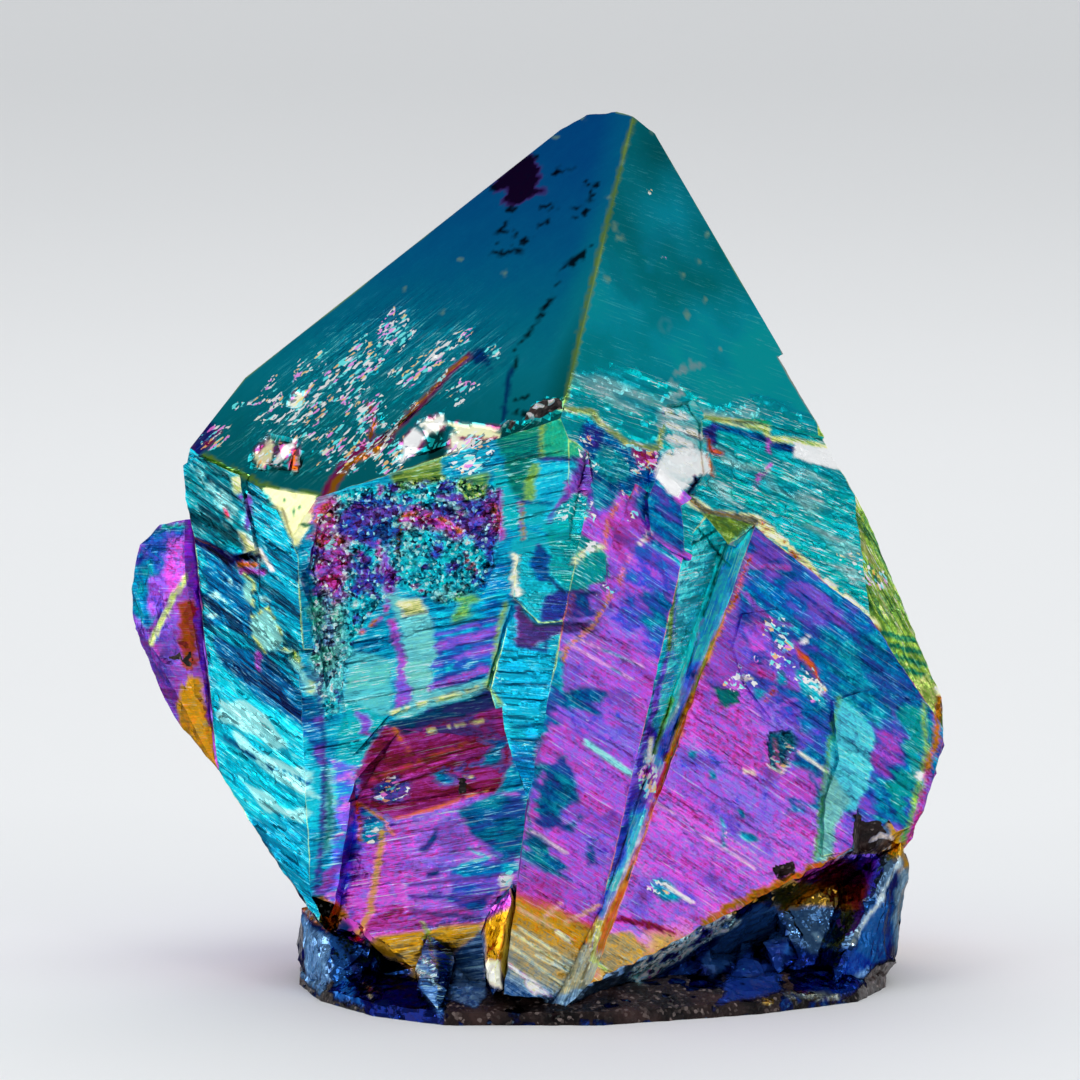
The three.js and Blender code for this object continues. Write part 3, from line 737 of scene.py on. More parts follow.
wander_u = drift_2d(spot_u / 6, spot_v / 0.9, 31) + 0.6 * drift_2d(spot_u / 2, spot_v / 0.35, 32)
wander_v = 0.5 * drift_2d(spot_u / 3, spot_v / 1.2, 33)
wander = wander_u[:, None] * face_along[spot_face] + wander_v[:, None] * face_across[spot_face]
wander_across, wander_up = wander @ rightward, wander @ upward
sheets = {
    "front": (spot_across, spot_up, wander_across, wander_up, spot_seen),
    "back": (-spot_place[:, 0], spot_place[:, 2], wander[:, 0], wander[:, 2],
             (face_normal[spot_face, 1] > 0.2) & ~spot_seen),
    "right": (spot_place[:, 1], spot_place[:, 2], wander[:, 1], wander[:, 2],
              (face_normal[spot_face, 0] > 0.5) & ~spot_seen),
    "left": (-spot_place[:, 1], spot_place[:, 2], wander[:, 1], wander[:, 2],
             (face_normal[spot_face, 0] < -0.5) & ~spot_seen),
}


def on_sheet(sheet, on, ragged):
    """Places on a sheet with their wander, and which spots may be painted there."""
    across, up, da, du, seen = sheets[sheet]
    where = seen if on is None else seen & of_part(*on)
    return np.stack([across + ragged * da, up + ragged * du], axis=1), where


def spots(places, on=None, ragged=1.0, soft=0.35, strength=1.0, sheet="front", **values):
    """Paints rounded spots, each given as across, up, half length, half width and turn. Their
    outlines wander along the growth lines."""
    p, where = on_sheet(sheet, on, ragged)
    for a, b, long, wide, turn in places:
        t = math.radians(turn)
        x = ((p[:, 0] - a) * math.cos(t) + (p[:, 1] - b) * math.sin(t)) / long
        y = ((p[:, 1] - b) * math.cos(t) - (p[:, 0] - a) * math.sin(t)) / wide
        blend_in((1 - smooth(1 - soft, 1 + soft, np.hypot(x, y))) * where * strength, values)


def area(outline, on=None, ragged=0.35, soft=0.2, strength=1.0, sheet="front", **values):
    """Paints inside an outline of places, with a wandering edge."""
    p, where = on_sheet(sheet, on, ragged)
    a = np.array(outline, float).reshape(-1, 2)
    b = np.roll(a, -1, axis=0)
    box = where & (p > a.min(axis=0) - 1).all(axis=1) & (p < a.max(axis=0) + 1).all(axis=1)
    depth = np.full(len(p), -FAR)
    depth[box] = gaps_to_lines(p[box], a, b) * np.where(inside(p[box], a, b), 1, -1)
    blend_in(smooth(-soft, soft, depth) * strength, values)


def line(path, width, on=None, ragged=0.2, strength=1.0, broken=0.0, sheet="front", **values):
    """Paints a line of some width through a list of places. A broken line has gaps."""
    p, where = on_sheet(sheet, on, ragged)
    ends = np.array(path, float).reshape(-1, 2)
    near = np.full(len(p), FAR)
    box = where & (p > ends.min(axis=0) - 2).all(axis=1) & (p < ends.max(axis=0) + 2).all(axis=1)
    near[box] = gaps_to_lines(p[box], ends[:-1], ends[1:])
    weight = 1 - smooth(0.35 * width, 0.35 * width + 0.25, near)
    if broken:
        weight *= smooth(broken - 0.5, broken - 0.3, rough(spot_place, 0.8, 35, 2))
    blend_in(weight * strength, values)


def paint(on, rows, wider=1, brighter=1, **shared):
    """Paints areas and lines in turn. A row holds the width of a line, or 0 for an area, then film,
    tone and the places as across, up, across, up, and can end with values of its own. Wider and
    brighter multiply the widths and tones of all rows."""
    for width, film, tone, *places in rows:
        own = places.pop() if isinstance(places[-1], dict) else {}
        values = {"on": on, "film": film, "tone": brighter * tone, **shared, **own}
        if width:
            line(places, wider * width, **values)
        else:
            area(places, **values)


# ---- Ground tip: finish ----
# Polished flat, so the coating is even: deep blue at the top, teal lower down. Old stains kept the
# film off near the top, the lower edge of the left face is flaked, and the right face is etched low.
WHITE, YELLOW, LIME, GREEN, TEAL, CYAN, AZURE = 1.0, 0.94, 0.9, 0.86, 0.8, 0.75, 0.7
BLUE, INDIGO, VIOLET, MAGENTA, CRIMSON, SCARLET = 0.645, 0.595, 0.54, 0.485, 0.435, 0.4
ORANGE, GOLD, KHAKI, NAVY, BRONZE = 0.37, 0.33, 0.27, 0.1, 0.05

finish(*GROUND_LEFT, tone=0.9, gloss=0.93, lines=0.03, grit=0.05)
finish(*GROUND_RIGHT, tone=0.95, gloss=0.9, lines=0.15, grit=0.1)
finish("etched_right", "etched_back_left", "etched_back_right", "rim_right", "lime",
       film=0.78, tone=1.7, gloss=0.72, lines=1.0, grit=0.4)
finish("lime", film=LIME, tone=1.1)
tip_height = smooth(48, 86, spot_up)
left_tips = of_part(*GROUND_LEFT)
right_tips = of_part(*GROUND_RIGHT)
toward_ridge = smooth(-3.5, -0.3, spot_across + 3 - 0.231 * (spot_up - 57))
blend_in(left_tips * 1.0, dict(film=0.785 - 0.13 * tip_height + 0.04 * toward_ridge,
                               tone=0.98 + 0.42 * tip_height - 0.1 * toward_ridge))
haze_cloud = rough(spot_place, 7, 34)
# Painted highlight: the right tip faces are painted much lighter towards their lower part, and lighter or
# darker in clouds.
blend_in(right_tips * 1.0, dict(film=0.77 - 0.03 * haze_cloud,
                                tone=0.96 + 1.15 * smooth(84, 58, spot_up) + 0.45 * haze_cloud))

area((-3.2,60, 1,62.2, 6,60.6, 12,57.8, 17.5,58.2, 26,54, 28,50, 8,46, -4,52), on=["tip_right"], ragged=1.2,
     film=.778, tone=1.7, lines=1, grit=.4, gloss=.7, druse=1)
paint(None, [
    (0, .66, 1.2, -.6,56, 1.2,54.8, 3,53.4, 6.6,53, 6,50, 2.5,48, -1,50, -2,54, dict(grit=1, lines=1,
     gloss=.65, flakes=.35)), (0, .6, .9, -1,55.6, 1,54.8, .4,53, -1,53),
    (0, CYAN, 1, .5,53.5, 2.5,52.8, 3.5,50.5, 1.5,49.5, 0,51),
    (0, CRIMSON, .9, 3.8,53, 6.4,52.8, 5.8,51, 4.2,51.4),
    (.3, .925, 1.1, -3,57, -.2,56.7, .3,55.8, 2.2,54.4, 3.2,53.5, 6.3,53.1, 7,56.6),
    # Painted highlight: a lime line along the ridge where the two tip faces meet.
    (.25, .91, .9, 3.9,86, 3,83, 2,79, 1,75, 0,71, -1,67, -3,57.5, dict(ragged=.05, strength=.9))
])
paint(None, [
    (1.4, CYAN, 1.15, 5.2,73, 6.2,74.3, 7.8,75), (1, CYAN, 1.15, 5.6,71, 6.2,73, dict(strength=.5)),
    (1.2, .76, 1.15, 1.6,72.5, 2.4,70, 4,68)
], strength=.6)
ring = [(7 + 0.6 * math.cos(k), 65.4 + 0.6 * math.sin(k)) for k in np.linspace(0, 6, 10)]
line(ring, 0.02, film=0.77, pale=0.2, tone=1.5, ragged=0.1, strength=0.35)
spots([(2,75.2, .25,.5, 10), (2.5,74.1, .4,.25, 0), (1.3,78.2, .2,.2, 0), (10.4,71.7, .3,.2, 0),
       (8.8,70.4, .3,.2, 20), (11,67.9, .2,.2, 0), (11.2,74.5, .2,.2, 0), (5.7,84.6, .2,.2, 0),
       (2.8,81.7, .2,.3, 0), (3.2,83.5, .2,.2, 0), (-1.2,86, .3,.2, 0), (-3.9,84.2, .2,.2, 0),
       (9.2,66.4, .2,.4, 0), (12.5,63, .2,.2, 0), (1.2,70, .3,.2, 0), (-19,69, .2,.2, 0),
       (-13.5,72, .3,.2, 0), (-9,70.6, .2,.3, 20), (-15.3,66.7, .2,.2, 0)],
      ragged=0, film=0.92, pale=0.5, tone=1.1, strength=0.6)

# Painted white and yellow glints, and the step on the etched right face.
paint(None, [
    (.9, .79, 1.4, 7.6,58.5, 8.5,60.5, 10,61.6, dict(ragged=1, broken=.4, pale=.6)),
    (.6, YELLOW, 1.25, 11.2,56.3, 14,55.7, 17.1,55.1, 17.5,54, 20,53.8, 24.6,52.8),
    (.5, BLUE, .9, 11.8,55.3, 14.5,54.7, 17,54), (.5, BLUE, .9, 17.8,53.4, 20.5,52.8),
    (0, WHITE, 1.5, 19.9,53.7, 24.3,52.8, 25.2,50.7, 23,51.2, 19.9,52.2, dict(ragged=.1, soft=.1, lines=.1,
     grit=.1)), (0, INDIGO, .7, 10.9,55, 12.2,55.4, 12.3,53.5, 11,53),
    (.3, SCARLET, 1.1, 10.3,54.3, 11.4,53.9, 11.6,52.9, 12.6,52.5), (.3, ORANGE, 1.1, 11.3,52, 11.7,50.4),
    (.4, NAVY, .3, 9.4,48.5, 10.2,50.2)
])
line((17.4,54, 17.4,51.5, 16,49.6, 16.3,48.6), .3, broken=.5, film=MAGENTA)
line((8.8,48.2, 12,46.5, 16.2,45.9, 20,42.6, 25,38.2, 28.5,34.9), .8, ragged=.5, broken=.12, film=.955,
     tone=1.3)
line((16.2,45.8, 20,42.2, 25,37.7, 28.5,34.5), .6, ragged=.8, broken=.6, film=ORANGE)
area((10.6,47, 16,45.6, 13.4,43.4, 12,44.2), ragged=.1, film=.905, tone=.8, lines=.3)
line((9.5,48, 11,46.9, 16.2,45.7), .4, film=KHAKI, tone=.5)
# Painted highlights: pale, lighter streaks on the scales of the etched skin.
spots([(20,48, 2.5,.5, -25), (15,51.5, 2,.4, -25), (23,44, 2.5,.5, -30), (25,41, 1.5,.4, -30),
       (14,47.8, 1.6,.4, -20), (21.5,50.3, 2,.4, -20), (1,59, 2.5,.5, -15), (5,57.6, 2.5,.5, -15),
       (12,56.9, 3,.4, -10)], on=["tip_right", "etched_right"], ragged=2.0, soft=0.9, strength=0.6,
      film=0.8, pale=0.7, tone=1.5)

# Stains on the left face, and the places on many faces where the film has flaked; the coating
# paints these flakes lighter, as glints.
area((-10.2,79.3, -8.2,81.5, -6.4,82.3, -5.8,81.6, -5.1,79.5, -5.6,78.2, -8.8,77.9), on=["tip_left"],
     ragged=.8, film=.53, tone=.07)
for path, width, gaps in [
    ((-10.3,79.2, -9,80.4, -8.3,78.6), 1.0, 0.2), ((-7,82, -6,82.1), 0.4, 0),
    ((-8,77.6, -9.3,75.8, -9.6,74), 0.5, 0.5), ((-9.6,74.4, -8.2,74.3, -7.6,73.6), 0.8, 0.45),
    ((-9.6,72.7, -7.5,72.5), 0.3, 0), ((-7,73.3, -6.2,74.3, -5.4,75.2, -4.2,75.9), 0.7, 0.4),
    ((-2.4,76.4, -.8,77, -.6,79, -.9,80), 0.9, 0.5), ((-4.3,68, -5.9,65.7), 0.25, 0.2),
    ((-5.3,77.3, -4,77), 0.5, 0.5), ((-3.6,70, -2.2,71.5, -.4,72.8), 0.6, 0.35),
    ((-3.6,81.2, -2.6,81), 0.5, 0.5), ((-6.2,65.2, -7.5,63, -8.2,61.2), 0.25, 0.35),
    ((-7.9,58, -7.3,57.4, -7.6,56.9), 0.4, 0.3), ((-8.2,56.1, -6.9,56.1), 0.2, 0),
]:
    line(path, width, on=["tip_left", "tip_right"], ragged=0.8, broken=gaps, tone=0.07, gloss=0.85)
line((-8.4,61, -8.9,58, -9.2,56), .2, film=BLUE, tone=.7)
for a, b, long, wide, turn, much in [
    (-24.5,60.6, 4.6,1.4, 34, .6), (-29.5,57.2, 3.4,1.6, 12, .5), (-32,53, 3,2, 0, .45),
    (-17,61.5, 3.4,1.5, 40, .45), (-14,63, 1.8,1.2, 40, .4), (-13,59, 1.8,1.4, 40, .45),
    (-23,57, 2,2.2, 60, .5), (-24,52.5, 3.4,1.6, 25, .6), (-20,65.4, 2.6,1, 40, .4),
    (-30,61, 4,1.6, 30, .3), (-26,54.6, 6,1.4, 5, .35), (-10,62, 1.6,2.6, 0, .2),
    (-38.2,54.4, 1.4,1.2, 30, .6), (-20,52, 2.4,1.2, 25, .5), (-12.5,52.5, 2.4,2.4, 0, .5),
    (-27,45, 1.2,4, 0, .4), (-2.4,46.5, 3,3.4, 0, .24), (2,51.5, 2.6,2.6, 0, .28),
    (3,45, 1.4,3, -20, .28), (.4,39, 1.8,1, 0, .4), (-2,42.6, 2.6,.8, 25, .3),
    (18.5,32, 4.4,2.6, -25, .26), (17,36.4, 2,1.6, 0, .26), (14,29.4, 1.8,1, 20, .32),
    (22,29, 1.2,1.6, 0, .35), (18.7,22, 1.3,1.6, 0, .3), (5.4,20.4, .9,2, 0, .6),
    (12.8,14.6, .4,1.2, 0, .4), (-22.4,15.2, 1.6,1.6, 0, .4), (-20.6,18.8, 1.4,1.2, 0, .5),
    (-8.8,9.8, .8,.7, 0, .6), (6.6,9.2, 1.4,1, -40, .3), (27,41, 3,1.2, -40, .35),
]:
    spots([(a, b, long, wide, turn)], soft=0.7, ragged=0.6, flakes=1.15 * much)
area((-6.8,55.7, -6.2,57, -4.6,57.9, -3.1,57.9, -2.9,57, -4.3,56.1), ragged=.5, bare=1, grit=1, rise=.5,
     gloss=.7)
area((-9.5,55, -8.9,55.7, -7.8,55.5, -8.2,54.7), ragged=.3, bare=1, grit=1, rise=.3)
spots([(-5.2,57, .5,.3, 0), (-4,57.4, .4,.3, 30), (-6.2,56.2, .3,.3, 0), (-8.8,55.2, .3,.3, 0)],
      ragged=0.4, bare=0, film=WHITE, tone=0.7)

# The lower left face: pits with orange walls and walls painted white and light as highlights, a
# long crack and the broken lower edge.
flaked = ["tip_left"]
pitted = ["tip_left", "face_b"]
spots([(-24,60, 10,4.6, 35), (-29,54, 7,3.5, 10), (-15,61, 6,3.5, 30)], on=flaked,
      soft=0.6, druse=0.6, grit=0.35, lines=0.8, gloss=0.82)
for path, width in [
    ((-30,58.6, -28,59, -25.5,60.5), 0.7), ((-25.5,61, -23.2,63.8, -22.4,62.6), 0.8),
    ((-24.8,60, -21.5,61.6), 0.6), ((-21.4,65, -20.6,66.5), 0.3), ((-19,63.4, -18.4,65), 0.4),
    ((-15.8,61.8, -14.2,63.8, -12.8,64.8), 0.5), ((-36,57.2, -32,58.2), 0.3),
    ((-34,55.8, -29,56.2), 0.3), ((-28,54.6, -24,55.4), 0.3), ((-20.5,60.8, -17.5,61.4), 0.4),
    ((-23.2,55.8, -22.6,57.6), 0.5), ((-29.8,56.6, -27.4,56.4), 0.4),
    ((-12.8,59.4, -13.8,57.6), 0.7), ((-26.5,58.4, -23,59.2), 0.3),
]:
    line(path, 1.3 * width, on=flaked, ragged=0.6, flakes=0.95)
area((-34.6,52.2, -32.6,54.3, -30.2,53.9, -29.4,52.8, -29.8,50.6, -33.8,51), on=flaked, film=TEAL, tone=.5,
     rise=-.4)
# Painted highlights: most pit walls are painted white and light, as facets that face the light; one is
# orange.
for outline, pit_film, pit_tone in [
    ((-34.4,52.4, -32.8,54.1, -32,53.4, -32.4,51.6, -33.6,51.3), 0.97, 0.85),
    ((-32,51.3, -31.4,53.7, -30.1,53.9, -30,52.6, -31,52.2), 1.0, 1.35),
    ((-30,50.8, -29.6,53.2, -30.3,53, -30.6,50.9), 0.385, 0.9),
    ((-30.9,57.4, -30,58.8, -28.9,58.6, -29.5,57.2), 0.98, 1.2),
    ((-19.4,51.5, -19.6,53.6, -18,55.2, -16.9,54.3, -17.6,52.9), 1.0, 1.4),
    ((-17.6,55.8, -15.2,56.5, -14.8,55.3, -16.6,53.8), 0.99, 1.3),
    ((-15,51.2, -14.5,54.7, -11.9,54.8, -12.9,53.3, -14.3,51.4), 0.98, 1.25),
    ((-14.7,55.7, -9.3,55.1, -9.7,54, -13.4,54.3), 0.965, 1.35),
    ((-12.4,52.4, -10.6,54, -10.2,52.6, -11.4,51.2), 0.95, 1.1),
    ((-24,53.2, -22,53.9, -21.6,52.6, -23.4,51.8), 0.97, 1.0),
]:
    area(outline, on=pitted, ragged=0.15, soft=0.1, film=pit_film, tone=pit_tone, lines=0.15, rise=-0.25)
    line(outline, 0.15, on=pitted, ragged=0.2, broken=0.45, film=0.44, tone=0.9)
area((-16.9,54.2, -15,55, -15.2,51.8, -16.4,51), on=flaked, film=TEAL, tone=.4)
paint(None, [
    (1.3, CRIMSON, .9, -27.8,44, -27.4,47, -26.3,49.4, -25,51.4, -23,53, -20.9,54),
    (.6, .36, 1.2, -27.4,44, -27,47, -26,49.6, -24.4,51.6, -21.5,53.3)
])
line((-21,53.8, -17.5,57.4, -14.6,60.6, -12.5,62.4), .5, on=flaked, film=.45, tone=.55)
line((-21,54, -17.4,57.7, -14.6,60.9, -12.8,62.2), .15, film=.36, tone=1.4)
line((-20.4,54.9, -17,58.3, -14.4,61.2), .1, broken=.4, flakes=1)
line((-22.6,57.4, -22.1,55.6, -22.5,54.2), .4, film=ORANGE, tone=.9)
area((-12.6,62.3, -11.8,63, -10.6,62.6, -10.2,61, -10.8,61.8, -12,61.6), on=flaked, film=BLUE, tone=.8)
paint(None, [
    (0, INDIGO, .8, -41,51.6, -40.5,53.6, -38.6,55.9, -37.6,54.6, -38.6,53.2, -40,52, dict(druse=.7,
     lines=.5)), (.5, CRIMSON, 1, -40.2,53.2, -38.4,53.6, -37.8,54.6, dict(broken=.3)),
    (.5, LIME, 1, -39,52.4, -36.8,51, -34.6,50.2, -33.4,49.3, -27.8,48.3)
])

# ---- Foot: finish ----
# Broken glassy rock with the thinnest film: gold, silver and steel blue, and bare dark amethyst
# along the sawn rim.
finish("foot_rock", film=0.115, tone=0.55, gloss=0.85, lines=0.1, grit=0.15)
finish("foot_rim", film=0.03, tone=0.5, gloss=0.7, lines=0.0, grit=1.0, bare=0.75)
finish("end_e", film=0.19, tone=0.9, gloss=0.7, lines=0.3, grit=0.9)
finish("sawn", film=0.05, tone=0.7, gloss=0.35, grit=1.0, bare=1.0)
foot = ["foot_rock", "foot_rim", "end_e"]
paint(foot, [
    (0, .32, .6, 9,5.6, 12.6,6.8, 17,9.4, 20,10.6, 26,12.8, 29,13, 29,7, 24,6.6, 17,6.4, 12,4),
    (0, .465, .3, 19,10.4, 24,12, 28.4,13.2, 28.6,9.4, 25,9.4, 21,9.6),
    (0, .57, 1.2, 24.6,12.2, 28,13.2, 28.4,11.6, 26.4,10.8),
    (0, .14, .8, 9.5,2.6, 14.8,7.4, 17.4,7.9, 19,6.8, 18.6,4, 16,4.4, 12,2),
    (0, .18, .7, 19,7, 22,7.4, 27,6.6, 25.8,3.2, 22,2.4, 19.4,4),
    (0, .14, 2.5, 17,4.2, 19.4,4, 19.6,2.4, 17.6,2.2),
    (0, .1, .3, 9.6,2.2, 16.6,4.2, 17,2, 14.6,2.8, 12,-1, 9.6,-.6),
    (0, .108, 4, 12.2,-2.4, 13.8,.8, 15,2.8, 16.6,1.4, 17,.2, 18.8,.9, 18.4,-1.2, 15,-1.8),
    (0, .1, .9, 19,2.4, 25,2.8, 24.4,-1.6, 20,-1.6, dict(bare=.2)),
    (0, .325, 1.1, 29.4,16, 32.4,17, 31.8,12, 30.6,10, 29.4,12.6),
    (0, .2, .9, 28.6,12.4, 30.6,11.6, 28,7, 26,3.4, 25.2,3.6, 27,8),
    (0, .22, .85, 30.4,11, 31.6,11.4, 31.2,5, 29.8,2.6, 29.4,5),
    (0, .15, .8, 27,8, 29.6,9.6, 29.8,4, 28,1.4, 26,2.6),
    (0, .11, 1.25, 25.8,3, 28,1.6, 26.6,-.8, 23.6,-2.4, 24,.4),
    (0, .18, 1.5, 26.6,.8, 27.8,1.2, 26.6,-.2, 26,0),
    (0, .03, .3, 28,1.6, 29.8,2, 29.4,-1, 26.6,-2.4, 26.4,-.8, dict(bare=.7)),
    (0, .19, 1.6, -29.4,6.8, -28.4,5, -26.6,4.2, -26.4,0, -27.4,-1.6, -29.4,0),
    (0, .145, 1.5, -26.6,4.6, -25,4, -23.4,-.6, -22.4,-3, -26,-2),
    (0, .095, .6, -25.4,4.6, -20,1, -15,-1, -15,-4.6, -22.6,-4, -24,-1, dict(bare=.1)),
    (0, .36, .6, -29.4,7.6, -27,8.4, -25,7, -26.6,5, -28.8,6)
], ragged=.35, soft=.2, bare=0, grit=.4, gloss=.85)
paint(foot, [
    (0, .135, .5, 10.5,1.5, 13.6,5.4, 16.4,7.6, 18.6,7.2, 19,3.4, 15.6,3.2, 14,1.8, 12,0, dict(frost=.9)),
    (0, .108, 1.1, 12.2,-2.6, 13.6,.6, 15,3, 16.6,1.4, 17.4,3.8, 19.2,4, 18.6,.8, 18.4,-1.4, 15,-2,
     dict(grit=.2, frost=.75)),
    (0, .2, 2.4, 3,.4, 6,3, 10,5.6, 13,6.8, 14.6,5.8, 9,2.4, 4.4,-.6, dict(pale=.3, grit=1.5, frost=.4))
], bare=0)
paint(foot, [
    (.2, .22, 1.5, 22,4.4, 23,3.4, 24.2,2.8), (.25, .24, 1.6, 30.4,12, 28,7.4, 25.6,3.4),
    (.2, .28, 1.2, 17.2,9, 18.2,7.6), (.2, .22, 1.5, -28.8,6.8, -26.8,5.4),
    (.3, .28, 1.1, -22.8,-.4, -22.2,-1.8), (.6, .25, .7, 19,-1.6, 24,-1.8), (.3, .3, 1.2, 17,-2.2, 17.6,-2.3)
], ragged=.3, bare=0)
chill = smooth(0.25, 0.4, rough(spot_place, 1.3, 36)) * of_part("foot_rim")
blend_in(chill, dict(film=0.11, tone=0.5, bare=0.0))

# ---- Left column: finish ----
# Face a is the bright one, with long growth lines that fall to the right. Face b carries a bed of
# small crystals at the top, ledges below it and a sunk lower half.
finish("face_a", film=0.735, tone=0.95, gloss=0.78, lines=1.0, grit=0.15)
finish("violet", film=0.497, tone=1.5, gloss=0.7, lines=0.6)
finish("face_b", film=0.72, tone=1.05, gloss=0.68, lines=0.9, grit=0.3)
finish("ceiling_b", film=0.45, tone=0.5, gloss=0.6, lines=0.8, grit=0.4)

a_only = ["face_a", "face_b"]
area((-41,51.2, -39,52, -36.4,50.4, -35.3,46, -34.6,43.3, -40,43), on=a_only, film=.75, tone=.6)
for k in range(7):
    across, up = -40.6 + 0.9 * k, 51.6 - 1.3 * k
    line([(across, up), (across + 4.2 - 0.3 * k, up - 3.6 + 0.25 * k)], 0.12, on=a_only, ragged=0.05,
         broken=0.3, film=0.77, pale=0.5, tone=1.3)
# Painted light and shade: bands of face a are painted darker higher up and lighter lower down, where its
# small steps would catch the light.
paint(a_only, [
    (0, .725, .95, -34.6,50.6, -33,49.4, -31,46, -29.4,41.5, -28,36, -30,35.4, -33.5,38, -34,44),
    (0, .68, .7, -39.4,43.2, -36,41.5, -34.5,38, -34,34.4, -35.5,34.4, -38.6,35.4, dict(ragged=.8)),
    (0, .668, .6, -38.4,34.4, -35,33, -32.8,32.4, -29,28.6, -27.5,27.6, -27.2,24, -30,25.4, -34,28.4,
     -37.4,31.4, dict(ragged=.5)), (0, .62, .95, -29.5,25.4, -27.4,26.4, -27.1,21, -28.2,22.4),
    (0, .745, 1.25, -38,31, -34,28.2, -29.5,25.2, -27.2,20.6, -27.6,10, -32,6, -38,18, dict(ragged=.6,
     lines=.5))
])
# Painted highlights: three pale, light bands across face a.
paint(a_only, [
    (0, .77, 1.5, -37.6,28.2, -35,27.6, -32.5,25.8, -30.2,23.3, -32,23.2, -37.4,26),
    (0, .77, 1.5, -36,24.6, -33,22.6, -28.4,20.8, -27.3,17.8, -31,19.4, -35.6,22.8),
    (0, .77, 1.5, -35.6,20.2, -31,17.4, -28.2,16.6, -29,15.6, -33,16.8)
], ragged=.8, soft=.12, pale=.4, lines=.4)
paint(a_only, [
    (.3, AZURE, .6, -37.4,24.4, -33,21.4, -28.6,19.6, dict(broken=.3)),
    (0, .72, .95, -36,16, -31,16, -27.5,15, -28,7, -30.2,6, dict(ragged=.8)),
    # Painted shadow: a dark line under the lower edge of the raised block at the top of face a.
    (.9, INDIGO, .16, -39.9,43.9, -38,43, -36.4,41.9, -35,42.1)
])
# Painted shadow under the block's edge, then orange and magenta flecks below it.
paint(None, [
    (.7, NAVY, .2, -35.2,42.2, -33.2,42.2), (.5, ORANGE, 1.1, -35.4,41.4, -33.8,41.4),
    (.4, MAGENTA, 1, -35.3,40.8, -33,40.7)
])
paint(a_only, [
    (0, YELLOW, .95, -36.4,50, -35.2,50.3, -34.8,48.8, -36,48.5),
    (.4, VIOLET, .6, -35.4,48.2, -34.6,48.2, -34.7,45.2),
    (0, .96, 1.2, -35.6,44.8, -34.9,44.6, -33.6,42.8, -35,42.6), (.25, WHITE, 1.4, -33.6,43, -32.3,41)
])
line((-36.9,46.9, -36.6,46.4), .3, film=SCARLET, tone=.9)
for outline in ((-34.4,36.4, -32.5,37.1, -31.3,34.6, -31.2,33.2, -32.8,32.6, -34,34.4),
                (-31.3,33.2, -30.1,32.8, -27.6,28.6, -28.6,28.8),
                (-35,40.6, -34,39.8, -34.2,37.4, -35.2,38.2)):
    area(outline, on=a_only, ragged=0.4, film=0.8, pale=0.35, tone=1.35, lines=0.4)
    line(outline, 0.05, on=a_only, broken=0.3, film=0.93, tone=1.2)
spots([(-38,38.6, .3,.5, 60), (-38.3,36.4, .3,.4, 60), (-36.6,39.8, .2,.4, 40), (-37.4,38, .5,.15, -40),
       (-33.4,41.9, .3,.3, 0), (-32.9,38, .5,.3, 0), (-36.8,45.2, .4,.2, -40), (-29.4,39.6, .4,.2, -60)],
      on=a_only, ragged=0.5, film=0.77, pale=0.7, tone=1.4, strength=0.8)
line((-33.6,32.6, -33.3,31), .35, on=a_only, broken=.2, film=MAGENTA, tone=.8)
area((-40,36, -38.6,36, -37.6,26, -38.2,25, -39.4,29), on=["violet"], film=.63, tone=1, strength=.6)
paint(None, [
    (.2, WHITE, 1.4, -38.95,30.4, -39.3,28.8),
    # Painted highlight: a small facet that faces upwards, between the tip and face a, painted pale yellow and
    # light.
    (0, .96, 1.3, -33.2,49.2, -27.8,48.3, -28.6,45.4, -29.9,43, -30.6,44.6, -31.4,46.4, dict(ragged=.1,
     soft=.12, lines=.1, grit=.1, gloss=.85))
])
spots([(-31.1,47.9, .2,.2, 0), (-30.2,46.7, .2,.4, 0), (-29.6,47.3, .15,.2, 0), (-29,45.4, .5,.15, 0)],
      ragged=0.1, film=GREEN, tone=0.3)

# The crystal bed of face b.
area((-28.6,43, -27,48, -25,49, -15,50.4, -9.8,49.4, -9.6,44, -11,39.4, -15,37.4, -19.5,39.4, -22.5,36.6,
     -24.4,33, -25.4,27, -27,26, -28.4,34), on=["face_b"], film=.755, tone=1.25, druse=1, grit=1.6, lines=.2,
     gloss=.62)
paint(["face_b"], [
    (0, .6, .8, -24.8,48, -20,48.6, -19.8,44, -22,42.6, -25,43.6),
    (0, .57, .85, -16,48.4, -10,48.6, -9.6,44, -11.4,43, -12.8,45, -15.4,46),
    (0, .45, .95, -19.5,47.2, -15.5,47.2, -12.8,44.8, -13.6,44, -16.4,45.2, -19.3,45),
    (0, .455, .8, -10.6,49, -9.5,48.6, -9.5,44, -10.6,44),
    (0, .52, .8, -21.8,42.4, -20.4,43.4, -20,38.6, -21,37.4),
    (0, .6, .85, -24.2,42.6, -22.6,42, -21.6,37.6, -23.6,39),
    (0, .385, .95, -28,47, -26.6,48.4, -25.4,46, -25.8,43, -28.2,42.4),
    (0, .455, .95, -28.2,42.4, -25.6,43, -24.6,40.6, -25.4,38.4, -27.8,39.4),
    (0, .81, 1.25, -28.4,38.6, -25.6,38, -25,33.6, -26.2,30, -27.8,31),
    (0, .87, 1.1, -14.2,38.8, -12.4,38.6, -12.2,36.4, -13.8,35.6)
], ragged=.9, soft=.3)
paint(None, [
    (.3, ORANGE, 1, -19,46.2, -16.6,46.8, -14.8,45.8, -13.6,44.8), (.3, SCARLET, 1, -12.8,43.6, -12.4,40.6),
    (.3, GOLD, 1, -27.4,46.6, -28,44, -27.6,41), (.3, ORANGE, 1, -23.6,34.4, -22,36),
    (.3, .46, 1, -20.9,37.6, -21.4,36), (.3, ORANGE, 1, -10.2,47, -9.8,45),
    (.3, YELLOW, 1, -26.2,45, -25.8,44)
], ragged=.6, broken=.25)
line((-19.5,46.4, -19.6,42.6), .3, film=BRONZE, tone=.25)

